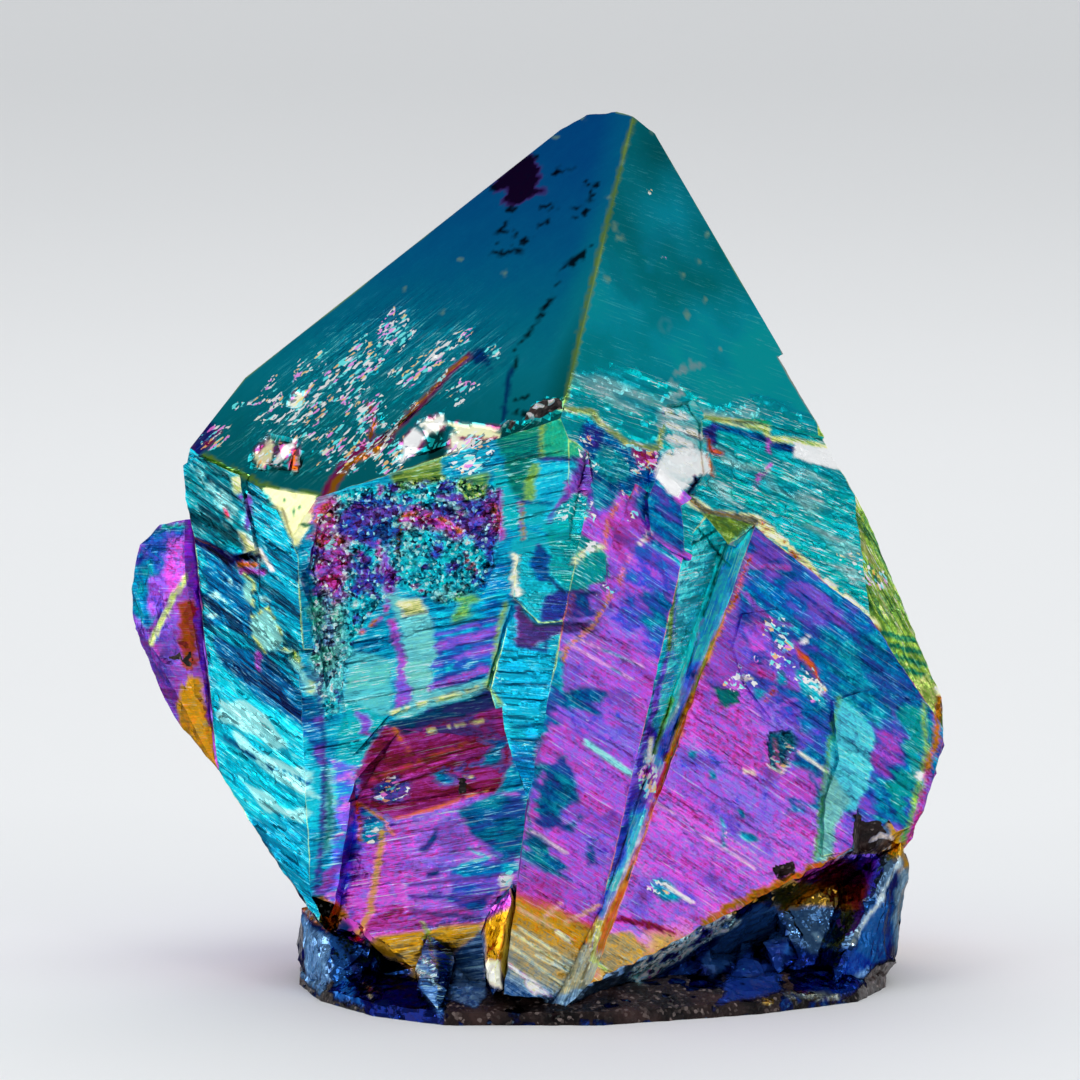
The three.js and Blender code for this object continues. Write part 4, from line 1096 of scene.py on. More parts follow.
# Ledges of face b under the bed.
paint(["face_b"], [
    (0, .775, 1.35, -24.4,33, -23,32.6, -20.2,31.6, -20.4,26.6, -23,26, -25.2,27, dict(pale=.12)),
    (0, .785, 1.4, -21,38.6, -17.4,38, -15.6,34.4, -16.3,28, -18,27, -19,31, -19.2,34.6, dict(pale=.2))
], lines=1)
paint(None, [
    (0, .96, 1.1, -19.6,37.8, -17.4,38.2, -16.8,36.4, -19.2,36, dict(ragged=.5)),
    (.7, .49, 1, -20.3,35.6, -19.4,32.4, -19.2,30), (0, .55, 1.1, -19.8,30, -18.8,30, -17.8,27.4, -20,27)
])
area((-15.8,34.6, -9.8,36.4, -9.4,30.6, -12,29.6, -16.3,29.4), on=["face_b"], film=.62, tone=1.2)
ledge_films = ((0.72, 1.4), (0.57, 1.2), (0.67, 1.1), (0.54, 1.2), (0.7, 1.3), (0.6, 0.8))
for k, (ledge_film, ledge_tone) in enumerate(ledge_films):
    line([(-15.8, 34 - 0.8 * k), (-9.6, 35.6 - 0.8 * k)], 0.3, on=["face_b"], ragged=0.3, broken=0.2,
         film=ledge_film, tone=ledge_tone)
line((-16.3,29.2, -13,30.3, -10.9,30.9), .6, film=.485, tone=1.1)
area((-17,28.6, -13,29.6, -10.4,30, -10.4,27.6, -20,25.6, -20.4,26.6), on=["face_b"], film=.775, pale=.2,
     tone=1.35)
line((-20.5,26.6, -16,27.9, -10.6,29.4), .25, broken=.3, film=YELLOW, tone=1.1)
area((-24.6,28, -21.8,26.4, -19.6,24.8, -22.8,21, -25.4,20.4, -25.8,24), on=["face_b"], film=.77, tone=1.2)
area((-24,26.6, -23,26.4, -22.2,24, -23.4,24.4), film=VIOLET, tone=.9)
area((-12,41, -9.2,41.5, -8.3,38, -9,36.4, -11.6,36.6), on=["face_b"], film=.71, tone=1.3)
area((-9.8,55, -5.2,56, -5.3,52.1, -6.3,51.8, -7.4,47, -9,51), film=.815, tone=.68, lines=1)
paint(["face_b"], [
    (0, LIME, .55, -20.5,50.4, -15.6,52, -15,50, -20,48.8, dict(lines=1)),
    (0, .88, .8, -13.8,50, -10.4,50.6, -10.8,48.2, -13,47.6)
])

# The sunk half of face b, from its roof, painted dark as the shade under the ledge above, down to
# the golden foot.
sunk = ["face_b", "ceiling_b"]
paint(sunk, [
    (0, .44, .42, -23.6,21, -21,25.4, -9.3,28.4, -8.6,26, -8.4,22, -10,18.4, -20,15.6, -24,18, dict(lines=1)),
    (0, BLUE, .22, -21.4,25.6, -10,28.9, -9.2,27.4, -19,24.6, dict(ragged=.6)),
    (0, .46, .25, -17,25, -9.6,26.6, -9.4,25, -12,24, dict(ragged=.8))
])
paint(sunk, [
    (.3, ORANGE, .8, -20,25, -19,23.4, -18.6,22), (.3, YELLOW, .7, -16.4,24.8, -11.2,25.8),
    (.3, .41, .7, -22.8,19.8, -18,21.6, -12.8,23.6), (.3, .46, 1, -23.4,18.4, -18,20.6, -14,22.4),
    (.3, ORANGE, 1.1, -20,15.9, -15,17.4, -10.8,18.8), (.3, BLUE, .9, -13.6,20.9, -9.6,21.9)
], broken=.2)
spots([(-20.6,18.8, 1.4,1.2, 0)], on=sunk, film=0.61, tone=0.7, druse=0.6, grit=1)
spots([(-15,20.2, 1.2,.9, 30), (-10,22.6, 1,1.4, 20)], on=sunk, film=0.66, tone=0.8)
area((-14,20, -13,20.2, -12.8,18.6, -13.8,18.4), on=sunk, bare=1)
spots([(-12.6,20.1, .4,.2, 0)], film=YELLOW, tone=0.9)
low_b = ["face_b", "foot_rock"]
paint(low_b, [
    (0, .487, 1.3, -24.4,16, -20,15.8, -11,18.4, -7,19, -7.4,9, -11.2,5.6, -24,4),
    (0, .53, 1.1, -16,15.4, -13.4,16.6, -12.6,12.6, -15.4,11),
    (0, .668, .68, -13.6,16.9, -10,18.4, -6.6,18.8, -6.6,15, -7.5,12.2, -9.5,12, -12.4,14.4),
    (0, .6, 1.1, -14.8,11.4, -11,12, -7.8,12.2, -8,8.6, -9.5,9, -11,6.2, -14.4,7.4),
    (0, .71, 1.15, -14,10.8, -7.6,12.2, -7.8,10.6, -13,9.8),
    (0, .46, .75, -19,7.4, -11,6.6, -11,5, -19,5.2, -24.4,4, -24.2,5.2),
    (0, .33, 1.15, -24,3.8, -19,4.9, -11.3,5.5, -10.9,1, -14.5,0, -18,0, -20.5,.6),
    (0, .47, 1.25, -26.8,7, -24,10, -22.2,13.4, -21.6,8, -23.4,5),
    # Painted light: the left wall of the sunk half, which lies in shade, painted three times lighter.
    (0, .585, 3, -26.3,22, -23.8,21, -23.6,17.4, -24,12, -25.2,7, -26.6,7.4, -26,16),
    (0, .57, .9, -24.4,13.8, -22.6,14, -26.6,8.8, -28.2,8.6),
    (0, .66, .9, -23.8,15.6, -21.6,16.6, -20.6,14.6, -22,13.4, -23.4,13.6),
    (0, .345, .65, -29,7.6, -26.6,8.6, -24.8,6.4, -26.6,4.6)
], ragged=.6, soft=.25, bare=0)
area((-27.2,21.4, -26,21, -25.9,17, -26.4,12.8, -27.3,12.4), on=low_b, ragged=.05, film=.8, pale=.3,
     tone=1.1, strength=.6)
paint(["foot_rock"], [
    (0, .335, .62, -23.4,4.2, -19,4.9, -14,5, -13.6,3.4, -16,2.4, -18,1.4, -20.6,2, dict(bare=0, grit=.2,
     frost=.9)),
    (0, .125, .8, -25.4,5, -23.4,4.4, -20,1.8, -18,.6, -20,-1, -24,1, dict(ragged=.6, bare=.15, grit=.4))
])
paint(["foot_rock", "foot_rim"], [
    (0, .165, 1, -17.7,2, -16.9,4.6, -14.1,3.4, -14,0, -15.4,-3.8, -17.4,-1, dict(bare=0, grit=.3, lines=1.5,
     frost=.6)), (0, .145, .75, -15.9,4.4, -14.1,3.4, -14,0, -15.2,-3.6, -15.9,-1.4)
], ragged=.1)
paint(["foot_rock"], [
    (.25, .23, 1.7, -17.4,2.2, -16.4,1.4), (.25, .23, 1.7, -17.5,.8, -16.3,0),
    (.25, .23, 1.7, -17,3.8, -16.1,2, -15.9,-1)
], ragged=.1, pale=.4)
paint(low_b, [
    (0, .6, .5, -17.8,12.8, -15.6,15.4, -15.9,14, -17,12.6),
    (0, .6, .4, -17,10.8, -15.6,11, -15.8,10.3, -17,10.2)
])
paint(low_b, [
    (.9, .335, 1.25, -21.2,14.8, -21.9,9, -22.8,6, -23.7,4.2),
    (.35, .36, 1.1, -23.7,17.6, -22.4,16.8, -20.9,15.6, -20.2,14.6), (.4, .38, 1.1, -23.8,17.2, -23.4,13.8),
    (.1, .49, 2, -19.1,11.4, -18.8,6.6), (.35, .47, 1.2, -24,3.9, -19,4.9, -16,5.2),
    (.3, .9, .9, -17.2,5.6, -16.4,3.2), (.3, .29, 1.3, -20.4,1.9, -17.6,3.2),
    (.3, .73, 1.2, -13.4,11.4, -10.6,12.2, -12.6,13), (.3, .56, 1.1, -12.4,14.3, -9.4,12.3),
    (.2, .6, .35, -18.6,9.4, -9,10.4), (.25, .57, .4, -18.4,8.2, -10,8.2), (.3, .5, .35, -18,6.8, -11.4,6),
    (.3, .79, .6, -26.9,21, -26.4,17, -26.9,13),
    (.35, .6, .45, -27.7,31, -27.2,26, -27,21.4, -27.3,14, -27.9,9)
], wider=.7, ragged=.15, strength=.85)
area((-9.6,9.2, -9.4,10.3, -8.1,10.3, -8.3,9.1), on=low_b, ragged=.3, film=WHITE, tone=1.3)

# ---- Front column: finish ----
# The front edge carries a growth cap. Its right face is magenta with blue patches, and golden
# where it nears the foot.
finish("face_c", film=0.745, tone=1.05, gloss=0.76, lines=0.7, grit=0.15)
finish("face_d", film=0.505, tone=1.2, gloss=0.6, lines=0.6, grit=0.6)
finish("side_d", film=0.76, tone=1.6, gloss=0.72, lines=0.8, grit=0.2)
top = ["face_b", "face_c", "face_d"]
paint(top, [
    (0, .845, 1.25, -5.2,56.2, -1.1,56.4, -.9,54.4, -1.2,52.1, -5.4,52),
    (0, .735, 1.3, -6.3,52, -1.6,52, -3,48.6, -4.9,45.2, -7.5,45.2, -7.3,47.4, dict(lines=.4)),
    (0, .89, .85, -6.4,51.6, -5.6,51.6, -6.2,47.8, -7.3,47.8),
    (0, .765, 1.05, -7.2,47.6, -4.6,47.6, -5.4,45.4, -7.4,45.4)
], ragged=.25, soft=.12, lines=.2)
paint(top, [
    (0, .775, 1.3, -10,51.4, -8.6,50.4, -7.6,46.4, -7.6,44.6, -9.2,45.4, -9.9,48, dict(lines=1)),
    (0, .545, .8, -1.6,52, -.6,52, -.2,48.6, -2.2,46.2, -4.6,45.2, dict(lines=.6)),
    (0, .785, 1.45, -4.4,46.8, -1.2,49, -.3,47, -2.4,44.4, -5.6,44.8, dict(lines=1)),
    (0, .665, .75, -.4,51.6, 2,50.4, 3.4,51, 1.8,47.4, .2,46.8, -.4,48.6, dict(lines=.6)),
    (0, .755, .95, -8.4,43, -7.4,45, -4.8,44.4, -4.2,40.6, -2.8,38.6, .4,38.6, .6,36.4, -6,35.4, -8.2,38,
     dict(lines=.4)), (0, .79, 1, -4.8,45, -1.6,44.6, 1,43.4, 1.3,40.4, .2,38.8, -3,38.8, -4.4,41),
    (0, .64, .7, -5.6,43.8, -4.6,42, -4.4,40, -5.6,39.6, -6.6,42, dict(lines=.6)),
    (0, .595, .6, -5,38.4, -3.4,38.8, .6,38.4, .4,36.2, -5.4,35.8, dict(lines=.8)),
    (0, .98, 1.3, -8.4,42.6, -7.8,42.6, -7.6,38.4, -8.2,38, dict(lines=.3)),
    # Painted shade: the underside of the growth cap, painted dark.
    (0, .52, .3, -8,38, -6,35.5, .4,35.7, .2,34.6, -3.6,34.6, -6.4,33, -7.8,33.2),
    (0, .5, 1.15, -.8,39.4, 1.4,40, 1.2,37, -.4,36.6),
    (0, .725, 1.2, -8.8,37.8, -7.9,37.2, -7.7,33, -3.3,33, -3.2,28.6, -4.7,24.4, -6.6,24, -8.4,25.8,
     -10.6,29.2, -10,33, dict(lines=.35)),
    (0, .69, 1, -8.5,24, -5.3,24, -5.6,20.4, -7,17, -8,20.4, dict(lines=.8))
], ragged=.25, soft=.12, lines=.9)
paint(top, [
    (.25, .6, .15, -5.4,52.05, -1.3,52.1), (.15, .65, .4, -7.3,47.6, -4.4,47.6),
    (.3, .91, .6, -5.2,56, -5.4,52.2), (.25, .31, .7, -7.5,47.6, -7.3,45.8, -7.1,44),
    (.4, .52, .9, -1.6,51.8, -2.4,49.4, -4.6,45.8), (.5, .47, 1, -1.7,49.6, -1,48.4),
    # Painted shade: dark lines along the edges of the cap's underside.
    (.5, .45, .8, -9.5,49, -9.7,46, -9.4,44), (.25, .7, .15, -8.2,38, -6,35.4, .4,35.6),
    (.2, .6, .3, -7.8,33.3, -5,32.8, -4.6,34.2), (.3, .62, .2, -5,40.3, -3,38.6, .4,38.6),
    (.35, .4, .9, -2.2,38.4, -2.6,36.4), (.3, .91, .9, -8.9,37.6, -9.7,34.6, -10,31.4, -10.7,29.2, -9.4,27.4),
    (.12, .68, .4, -9.8,29.5, -3.4,29.5), (.25, .68, .3, -8.6,23.9, -5,24.1),
    (.15, .68, .4, -8.3,25.2, -4.8,25.4), (.2, .6, .5, -8.2,22, -5.6,22.1),
    (.35, .47, .9, -5.2,24, -5.8,21.6),
    (.45, .345, 1.1, 1.6,38.6, .8,36.9, 0,35.3, -1.5,34.2, -3,33.1, -3.3,31.8),
    (.4, .37, 1.1, .8,43, 1.4,46, 2.1,47.4, 3.4,47.8, 4.4,49.4, 5,51),
    (.35, .36, 1, 5.4,44.4, 4,43, 2.9,41.2, 2.4,39.6), (.25, 1, 1.2, 4.4,43.4, 5.5,44.9),
    # Painted highlights: a cream line along the top of the growth cap, and thin white lines on face d.
    (.5, .965, 1.2, -2.2,41.6, -1,42.8, .8,43.4), (.08, 1, 1, -2.9,33.6, 3.6,30, dict(strength=.35)),
    (.06, 1, .9, -2,34.2, 4.8,31.2, dict(strength=.35)), (.12, 1, 1.2, -6.6,15, -3,12.7),
    (.2, .8, 1, -6.9,18, -6.6,15, -7.6,12.4)
], wider=.6, ragged=.15, strength=.8)

d_only = ["face_d"]
paint(d_only, [
    (0, .47, .6, 1.7,46, 3,45.6, 4.2,43.4, 3,41.4, 2.1,42.4),
    (0, .5, .9, 3,47.4, 4.6,48.6, 5.2,46.4, 4,44.8, 3,45.8),
    (0, .645, .85, 4.6,50, 5.6,50.4, 9.9,46.8, 9.6,42.6, 5.6,44.6, 4.8,47),
    (0, .575, 1.15, 2.8,39.6, 5.2,43.8, 8.6,41, 8.6,36, 7.4,31.4, 3.6,34, 1.6,36),
    (0, .74, 1.1, 5.2,44.6, 9,41.4, 8.7,40.4, 5.2,43.4), (0, .66, .8, 5,38.4, 7.4,38.6, 8,36, 5.6,34.4),
    (0, .655, .7, -4.2,29, .8,28.9, .2,27, -2,25.4, -4.6,25),
    (0, .555, 1.25, -4,26, 0,27, 5,26, 5.6,22.4, 4.4,20.4, -1,23.6),
    (0, .665, .62, -5.6,21, -2,22.4, -1.6,17.6, -5,15, -6.6,16),
    (0, .69, .5, -6.6,15, -4.2,13.4, -4.8,10, -7.4,12),
    (0, .55, 1.25, -4,17, 0,18.6, 3,14.6, 1.2,11.4, -3,13),
    (0, .475, .95, -1.6,18, 0,19.2, 2.6,16.6, 3,14.8, 1.4,15.2),
    (0, .66, .65, -3.8,16, -1.2,16, -1.6,14.8, -3.8,15), (0, .64, .6, -1.2,12.2, .8,13.6, .4,11.8, -1,11),
    (0, .66, .65, -5.4,13, -3,12.4, -2.4,10.6, -5,9.6),
    (0, .49, .75, -7.6,10, -4.4,10.6, -2,9, -4,7.6, -8,8.4)
], brighter=1.1, ragged=1.3, soft=.3)
area((8.6,41, 7.4,33, 6.2,29.5, 5,25, 3.4,20, 2.4,15, 1,10, 1.9,10, 3.2,13.5, 4,16, 5,19, 5.4,21, 6.2,24,
     6.9,26.5, 7.4,30, 8.4,33, 9.6,41), on=["side_d"], ragged=.3, film=.57, tone=1.7)
line((-1,23.7, 1.4,22, 3.4,20.6, 5.2,19.9), .6, on=d_only, ragged=.15, film=.775, pale=.35, tone=1.7)
drop = spot_up + 0.42 * (spot_across + 3) + 0.7 * wander_up
gilt = smooth(8.8, 5.5, drop) * of_part("face_d")
fading = 0.44 - 0.11 * smooth(7.5, 5.5, drop) - 0.055 * smooth(4.5, 1, drop) - 0.08 * smooth(-0.5, -3.5, drop)
blend_in(gilt, dict(film=fading, tone=0.94 + 0.4 * smooth(0.5, -2.5, drop)))
# Painted highlights: white and pale golden lines low on face d, with some orange lines.
paint(d_only, [
    (.2, 1, 1.3, -9,1.8, -4,-2.2), (.15, .3, 1.5, -8.6,4.9, 0,-.6), (.12, .29, 1.4, -7.6,5.2, 1.4,-1),
    (.12, .28, 1.3, -8.8,3.6, -1.6,-1.8), (.2, 1, 1.4, -6.8,-.4, -3.4,-2.8),
    (.35, .96, 1.2, -3.8,4.7, -2.6,3.8), (.08, .25, 1.5, -6,2.4, 2,-1.6), (.4, .36, .9, -7.6,7, -4.4,5.2),
    (.4, .42, 1.2, -5,6.2, -3.4,7.6), (.4, .37, 1, -3,5.6, .4,7.4)
], wider=.5, brighter=1.2, ragged=.05, pale=.3, strength=.9)
paint(d_only, [
    # Painted highlight: a white glint.
    (0, WHITE, 1.4, -7,-.6, -6,-.2, -5.4,-1, -6.2,-1.8),
    (0, .18, 1.1, -9.8,-1, -4,-1.9, 2.4,-.8, 0,-3.4, -9,-3.2)
])

# Painted highlight: a patch on the right tip face painted white and light, with light teal and white streaks
# above it.
area((5.8,50.6, 6.9,52.7, 10.7,52.9, 11.6,50.7, 9.8,50, 8.5,48.2, 7.2,48.7), ragged=.4, film=WHITE, tone=1.5,
     grit=.2, lines=.2, gloss=.8)
area((6.9,56.8, 9.6,56.6, 10.9,55.2, 10.6,52.8, 9,53.4, 6.9,52.8), ragged=1.2, soft=.2, film=.785, pale=.35,
     tone=2.3, lines=1.6, frost=0)
paint(None, [
    (.5, WHITE, 1.5, 7.2,56.6, 9.4,56), (.5, WHITE, 1.5, 7.4,55.4, 10.4,54.4),
    (.5, WHITE, 1.5, 7.2,54.2, 10.2,53.2), (.5, WHITE, 1.5, 7.4,53, 10,52.6)
], ragged=.8, broken=.2)

# The narrow wall between the front and right columns, its colours painted four to five times
# lighter to offset the shade that it lies in.
wall = ["side_d", "wall_e"]
paint(wall, [
    (0, .78, 1, 9.9,46.8, 13.3,43.4, 16,45.2, 15.4,43, 12.6,41, 10.4,43),
    (0, .772, 1.05, 8.6,41, 10.2,44.4, 12.6,41, 11,36.5, 8.8,30, 7.8,33),
    (0, .66, .8, 16,45, 12.9,42.6, 10.9,36.2, 9.4,31, 10.8,31, 14.2,38.4, 15.6,42.4),
    (0, .79, .9, 7.6,33, 8.8,30.4, 8.4,27, 6.4,24, 5.6,25.4, 6.6,28),
    (0, .575, .7, 8.6,30.6, 10,30, 8.2,26, 7,23.4, 6.6,24.6, 8.2,27.4),
    (0, .62, .9, 5,23, 6.4,24.4, 7,21, 5.8,19, 4.8,20), (0, .7, .8, 3.6,17, 5.6,18, 5.6,14.6, 4,12, 3,13),
    (0, .755, 1, 2,11, 4.6,14.6, 4,12, 2.6,9, 1.6,7.6, 1.2,9), (0, .6, .7, .6,9, 2.2,9, 1,5.4, 0,4),
    (0, .37, .9, -.6,6.4, 1,6, .6,3, -1,2), (0, .262, .3, -3,3, .6,3.6, 2.6,1, 1,-3, -5,-3),
    (0, .2, .3, -5,-1.6, 3,-.2, 1,-3.4, -5,-3.4)
], brighter=4.6, ragged=.3, pale=.04)
paint(wall, [
    (.2, .8, .3, 13.2,43.5, 10.8,36.4), (.2, .8, .35, 10,45.4, 13.4,41.2), (.2, .8, .4, 9,43, 12.6,45.2),
    (.2, .9, .9, 8.2,41, 7.6,36, 7.4,33), (.2, .97, 1.1, 5.6,24, 5.4,20.6, 5.8,18.4),
    (.2, .9, .9, 7.8,28, 6.6,25, 6,22.6)
], ragged=.1)
spots([(5.6,20.2, .8,1.2, 0), (5.5,18.4, .5,.8, 0)], ragged=0.6, film=0.5, tone=1.2, grit=1.5)

# The tooth beside the front column, pale steel teeth and the dark rock around them.
teeth = ["foot_rock", "foot_rim", "face_b", "face_d"]
# Painted light: the side wall in the gap beside the tooth, which lies in shade, painted a light gold.
area((-9.4,9, -7.8,9.4, -7.5,5, -7.9,-.5, -9.3,-1.6, -9.6,1), on=["foot_rock", "foot_rim", "face_b",
     "side_d", "face_c"], ragged=.1, film=.32, tone=2, frost=1, bare=0)
paint(teeth, [
    (0, .475, 1.3, -10.3,8.3, -8.3,9.1, -8.5,7, -10.9,5.6, -11.4,6.4),
    (0, .335, 1.3, -11.3,5.6, -8.6,7.2, -9.5,1.4, -11,1.2),
    (0, .98, 1.4, -11.1,1.8, -9.5,1.8, -9.8,-1, -10.8,0)
], ragged=.15, soft=.15, bare=0)
area((-14.2,2.6, -11,5, -10.9,1, -10.8,-1.6, -12,-3, -14.4,-2), on=teeth, ragged=.1, film=.17, tone=.75,
     bare=0, frost=.9)
for a, b in ((7, 23.6), (4.6, 18), (2.5, 12), (9.7, 30.4)):
    spots([(a, b, 1.6, 0.7, 65)], on=["face_d", "side_d", "wall_e"], soft=0.3, ragged=0.1, film=0.6,
          tone=1.0, frost=0.9, strength=0.8)

# ---- Right column: finish ----
# Its face runs from magenta at the left and the foot to blue at the upper right, with a golden
# left edge, a rough cluster in the middle and chips above the broken end.
finish("face_e", film=0.5, tone=1.0, gloss=0.6, lines=0.6, grit=0.6)
finish("wall_e", gloss=0.66, lines=0.5, grit=0.3)
finish("side_right", "side_under", film=0.6, tone=0.9, gloss=0.65, lines=0.8, grit=0.3)
toward = (spot_across - 15) * 0.62 + (spot_up - 22) * 0.5 + 2.0 * wander_up
face_e = of_part("face_e")
blend_in(face_e * 1.0, dict(film=0.489 + 0.154 * smooth(0, 9, toward), tone=1.5 - 0.4 * smooth(0, 8, toward)))
e_only = ["face_e"]
e_and_wall = ["face_e", "wall_e"]
paint(e_only, [
    (0, .57, .85, 16,45, 20,41.8, 19.4,41, 16,41.3, 15.4,42),
    (0, .57, .95, 15.8,40.6, 19,40.8, 19,39.6, 15.4,39.4),
    (0, .64, .95, 15.6,39.6, 21.6,38.8, 20.6,36.2, 16.8,36),
    (0, .6, .85, 20,41.6, 24,38, 25,36, 22,35.6, 20.6,39),
    (0, .68, .72, 21,35.4, 28,34, 32.6,28, 33,25, 28,25.4, 25,28.2, 22,29),
    (0, .73, .7, 24,34, 27,33, 26,30, 24,31), (0, .54, .85, 10,33, 14,37, 15.6,33, 14,29, 11,28),
    (0, .477, .95, 9.4,24.6, 11,29, 14.6,25.6, 18,22, 19,18.6, 15,17.6, 9,21.4),
    (0, .53, 1.15, 7.6,22.6, 9.6,23.6, 13,21.6, 19.6,17, 14,14, 9,18),
    (0, .497, 1.15, 6,14, 12,14, 16,10, 12,8, 7,8, 5,11),
    (0, .665, .85, 20.4,23.8, 23.4,21.6, 22.9,19, 22.5,16.6, 19.4,16, 20.4,20),
    (0, .505, 1, 17.4,20.4, 20,21, 22.5,19.6, 22,18, 19.8,16.9, 18,18),
    (0, .67, .8, 20.6,28.4, 24,27, 23.8,24.6, 20.8,24),
    (0, .565, .85, 27.8,25.4, 30.6,26.6, 31,24, 28.8,18, 27.2,20),
    (0, .79, .85, 31,27.4, 33.4,27, 33.4,22, 31.6,15.6, 30,15.4, 29.4,19, 31.4,22),
    (0, .7, .7, 28,19.6, 30,19.6, 30,15.6, 28,16),
    (0, .56, .95, 24,13.6, 25.2,14, 26.2,17, 26.2,12.8, 24.2,12.4),
    (0, .69, .9, 5.5,10.4, 7,10, 9.4,7.8, 6.6,7.6, 5.8,8.6)
], brighter=1.22, ragged=1.4, soft=.4)
paint(e_only, [
    (0, .75, 1.4, 24.6,28.3, 27.9,25, 27.6,20, 26,17, 24,17, 23.2,22, dict(pale=.1)),
    (0, .8, 1.3, 23.4,21, 25.4,18, 24,15, 23.6,12, 22,11.6, 22.4,16, dict(pale=.3))
], ragged=.3, soft=.15)
# The rough cluster, with white glints painted among its colours.
paint(e_only, [
    (0, .5, 1.25, 15,35.6, 17.6,35.4, 18,33, 15.6,33), (0, .55, 1.1, 17,33.4, 20.6,34, 20,29, 17,30),
    (0, .68, 1, 18.4,35.6, 20,35.8, 20.6,33.8, 18.8,33.6), (0, .39, 1, 20,33.2, 22.4,30.8, 22.2,30, 20.2,32),
    (0, .74, 1.1, 20,31, 22.2,29.8, 23.2,27.2, 20.4,28.8),
    (0, .99, 1.2, 22.3,30, 22.9,29.4, 22.9,28.2, 22.4,28.4),
    (0, .47, 1.2, 15.6,31.4, 17.2,32, 17.6,30.6, 16.2,30), (0, .8, .6, 12,29, 14.4,28.6, 14,27, 12.6,27),
    (0, 1, 1.4, 19.8,33.2, 20.2,33.8, 21.2,34.4, 21,33.8), (0, .98, 1.1, 14,29.9, 15.4,30.3, 15.3,29.9)
], ragged=.5, soft=.12, rise=.15)
area((17.2,23, 17.5,24.6, 19.5,24.8, 20.1,23.4, 19.4,22, 18.7,20.8, 17.6,21.3), on=e_only, ragged=.4,
     film=.7, tone=.35, rise=-.5, grit=.8)
paint(e_and_wall, [
    (.75, .4, 1.1, 15.4,42.2, 14.2,38.6, 12,34, 10.3,30, 8.6,25, 7.4,22.2, 6,18, 4.6,13.8, 2.6,9.4, 1,5.6,
     0,2.4), (.25, .34, 1.2, 13.6,37.6, 10.2,30, 8.4,25, 7.2,21.8), (.35, .34, 1.2, 3.4,11, 1,5.8, 0,3),
    (.35, .46, 1.1, 15.6,41.3, 19.4,41.2), (.4, .46, 1.1, 15,38.6, 16.2,37, 18,35.6, 19.6,35.4),
    (.3, .41, .8, 18.2,23.8, 18.4,22.4, 18.6,21.4), (.25, .99, 1.2, 17.4,21.4, 18.6,20.8, 19.4,21.6),
    (.3, .97, 1.2, 14.8,20.9, 15.8,20.7), (.9, .465, 1.25, 16.2,21.6, 16.8,20, 16.4,18.6),
    # Painted highlights: thin white and pale lines along the growth lines.
    (.08, .99, 1.1, 5.6,18, 10,14.8, 16,11, dict(strength=.4)), (.2, .99, 1.3, 6.8,9.6, 9.6,7.8),
    (.1, .8, 1.3, 21,34, 26.4,31, dict(strength=.4)), (.15, .98, 1.2, 20.4,22.6, 23.4,20.4),
    (.1, .85, 1.2, 25.2,28, 28.6,25, dict(strength=.4)),
    (.25, .87, .9, 24.5,28.2, 23.2,22, 22.6,17.4, 21.9,12),
    (.1, .69, .5, 25,24.6, 27.4,21.8, dict(strength=.4)), (.15, .49, 1.2, 14,25, 20,28),
    (.3, .4, 1.1, 17,27.8, 18,29), (.3, .9, 1, 32.8,27.6, 33.2,22.4, 31.8,17.6),
    (.5, .74, .9, 12.8,15.8, 12.8,13.4)
], wider=.6, ragged=.2, strength=.85)
spots([(11.8,20.4, .4,.4, 0), (15.4,14.1, .9,.35, -20), (18.3,30.2, .6,.5, 0), (16.4,28.4, .6,.5, 30),
       (9.8,22.4, .4,.5, 0), (14.6,16.6, .3,.5, 20)], on=e_only, ragged=0.4, film=0.72, tone=1.0)
area((.2,4.6, 3.2,5, 5.2,3, 3.5,.6, 1,.4, -.2,1.6), on=e_only, film=.3, tone=1.1)
rising = smooth(4.2, 0, (spot_up - 0.4) - 0.5 * (spot_across - 2) + 1.4 * wander_up) * face_e
rising *= smooth(12, 6, spot_across)
blend_in(rising * (layers["film"] > 0.3), dict(film=0.35 - 0.03 * rising))
line((.4,4.5, -.3,2, 1.3,.7), .3, on=e_and_wall, film=.93, tone=1.2)
for k in range(4):
    line([(1.4 + 1.2 * k, 6.6 - 0.3 * k), (4.4 + 1.2 * k, 5.2 - 0.2 * k)], 0.25, on=e_only, ragged=0.5,
         film=0.43, tone=0.4)
area((25.8,17.2, 26.8,15.7, 28.7,15.9, 29,14.6, 29.9,13.4, 28.5,12.6, 25.9,12.4), ragged=.3, soft=.1, bare=1,
     rise=-.3, grit=.6)
line((.6,3, 2,6.2, 3.4,9.6), .9, on=["face_d", "side_d", "wall_e", "foot_rock"], film=.37, tone=.7, frost=.9)
for path in ((14.6,38, 14.2,36.8, 13.7,33, 15.4,29.6, 17.6,25.8), (23.3,27.6, 27.8,29.4)):
    line(path, 0.5, on=e_only, ragged=0, frost=0.9)
line((11,5.6, 15,7.9, 20,10.2, 26,12.8), 1, on=e_only, ragged=.3, film=.36, tone=.7)
line((27.6,13.9, 28.6,14.4, 29.6,14), .3, bare=0, film=WHITE, tone=.9)
area((17.8,11.2, 18.8,11.6, 20,11.8, 20,10.6, 18,10), ragged=.3, soft=.1, bare=1, rise=-.2)
area((28,36.4, 30.6,35, 33,33.4, 34.6,28, 34,24.6, 32.8,27, 30,31.6), on=["lime"], film=.905, tone=1.35,
     lines=.5)
for k in range(4):
    line([(28.6 + 0.5 * k, 34.6 - 1.1 * k), (32.6 + 0.4 * k, 33.6 - 1.2 * k)], 0.25, on=["lime"],
         film=0.85, tone=0.8)
area((31.4,29.6, 33.4,30.4, 34.6,28, 33.8,22.4, 33,25), on=["lime"], film=.925, tone=1.4, lines=.2)
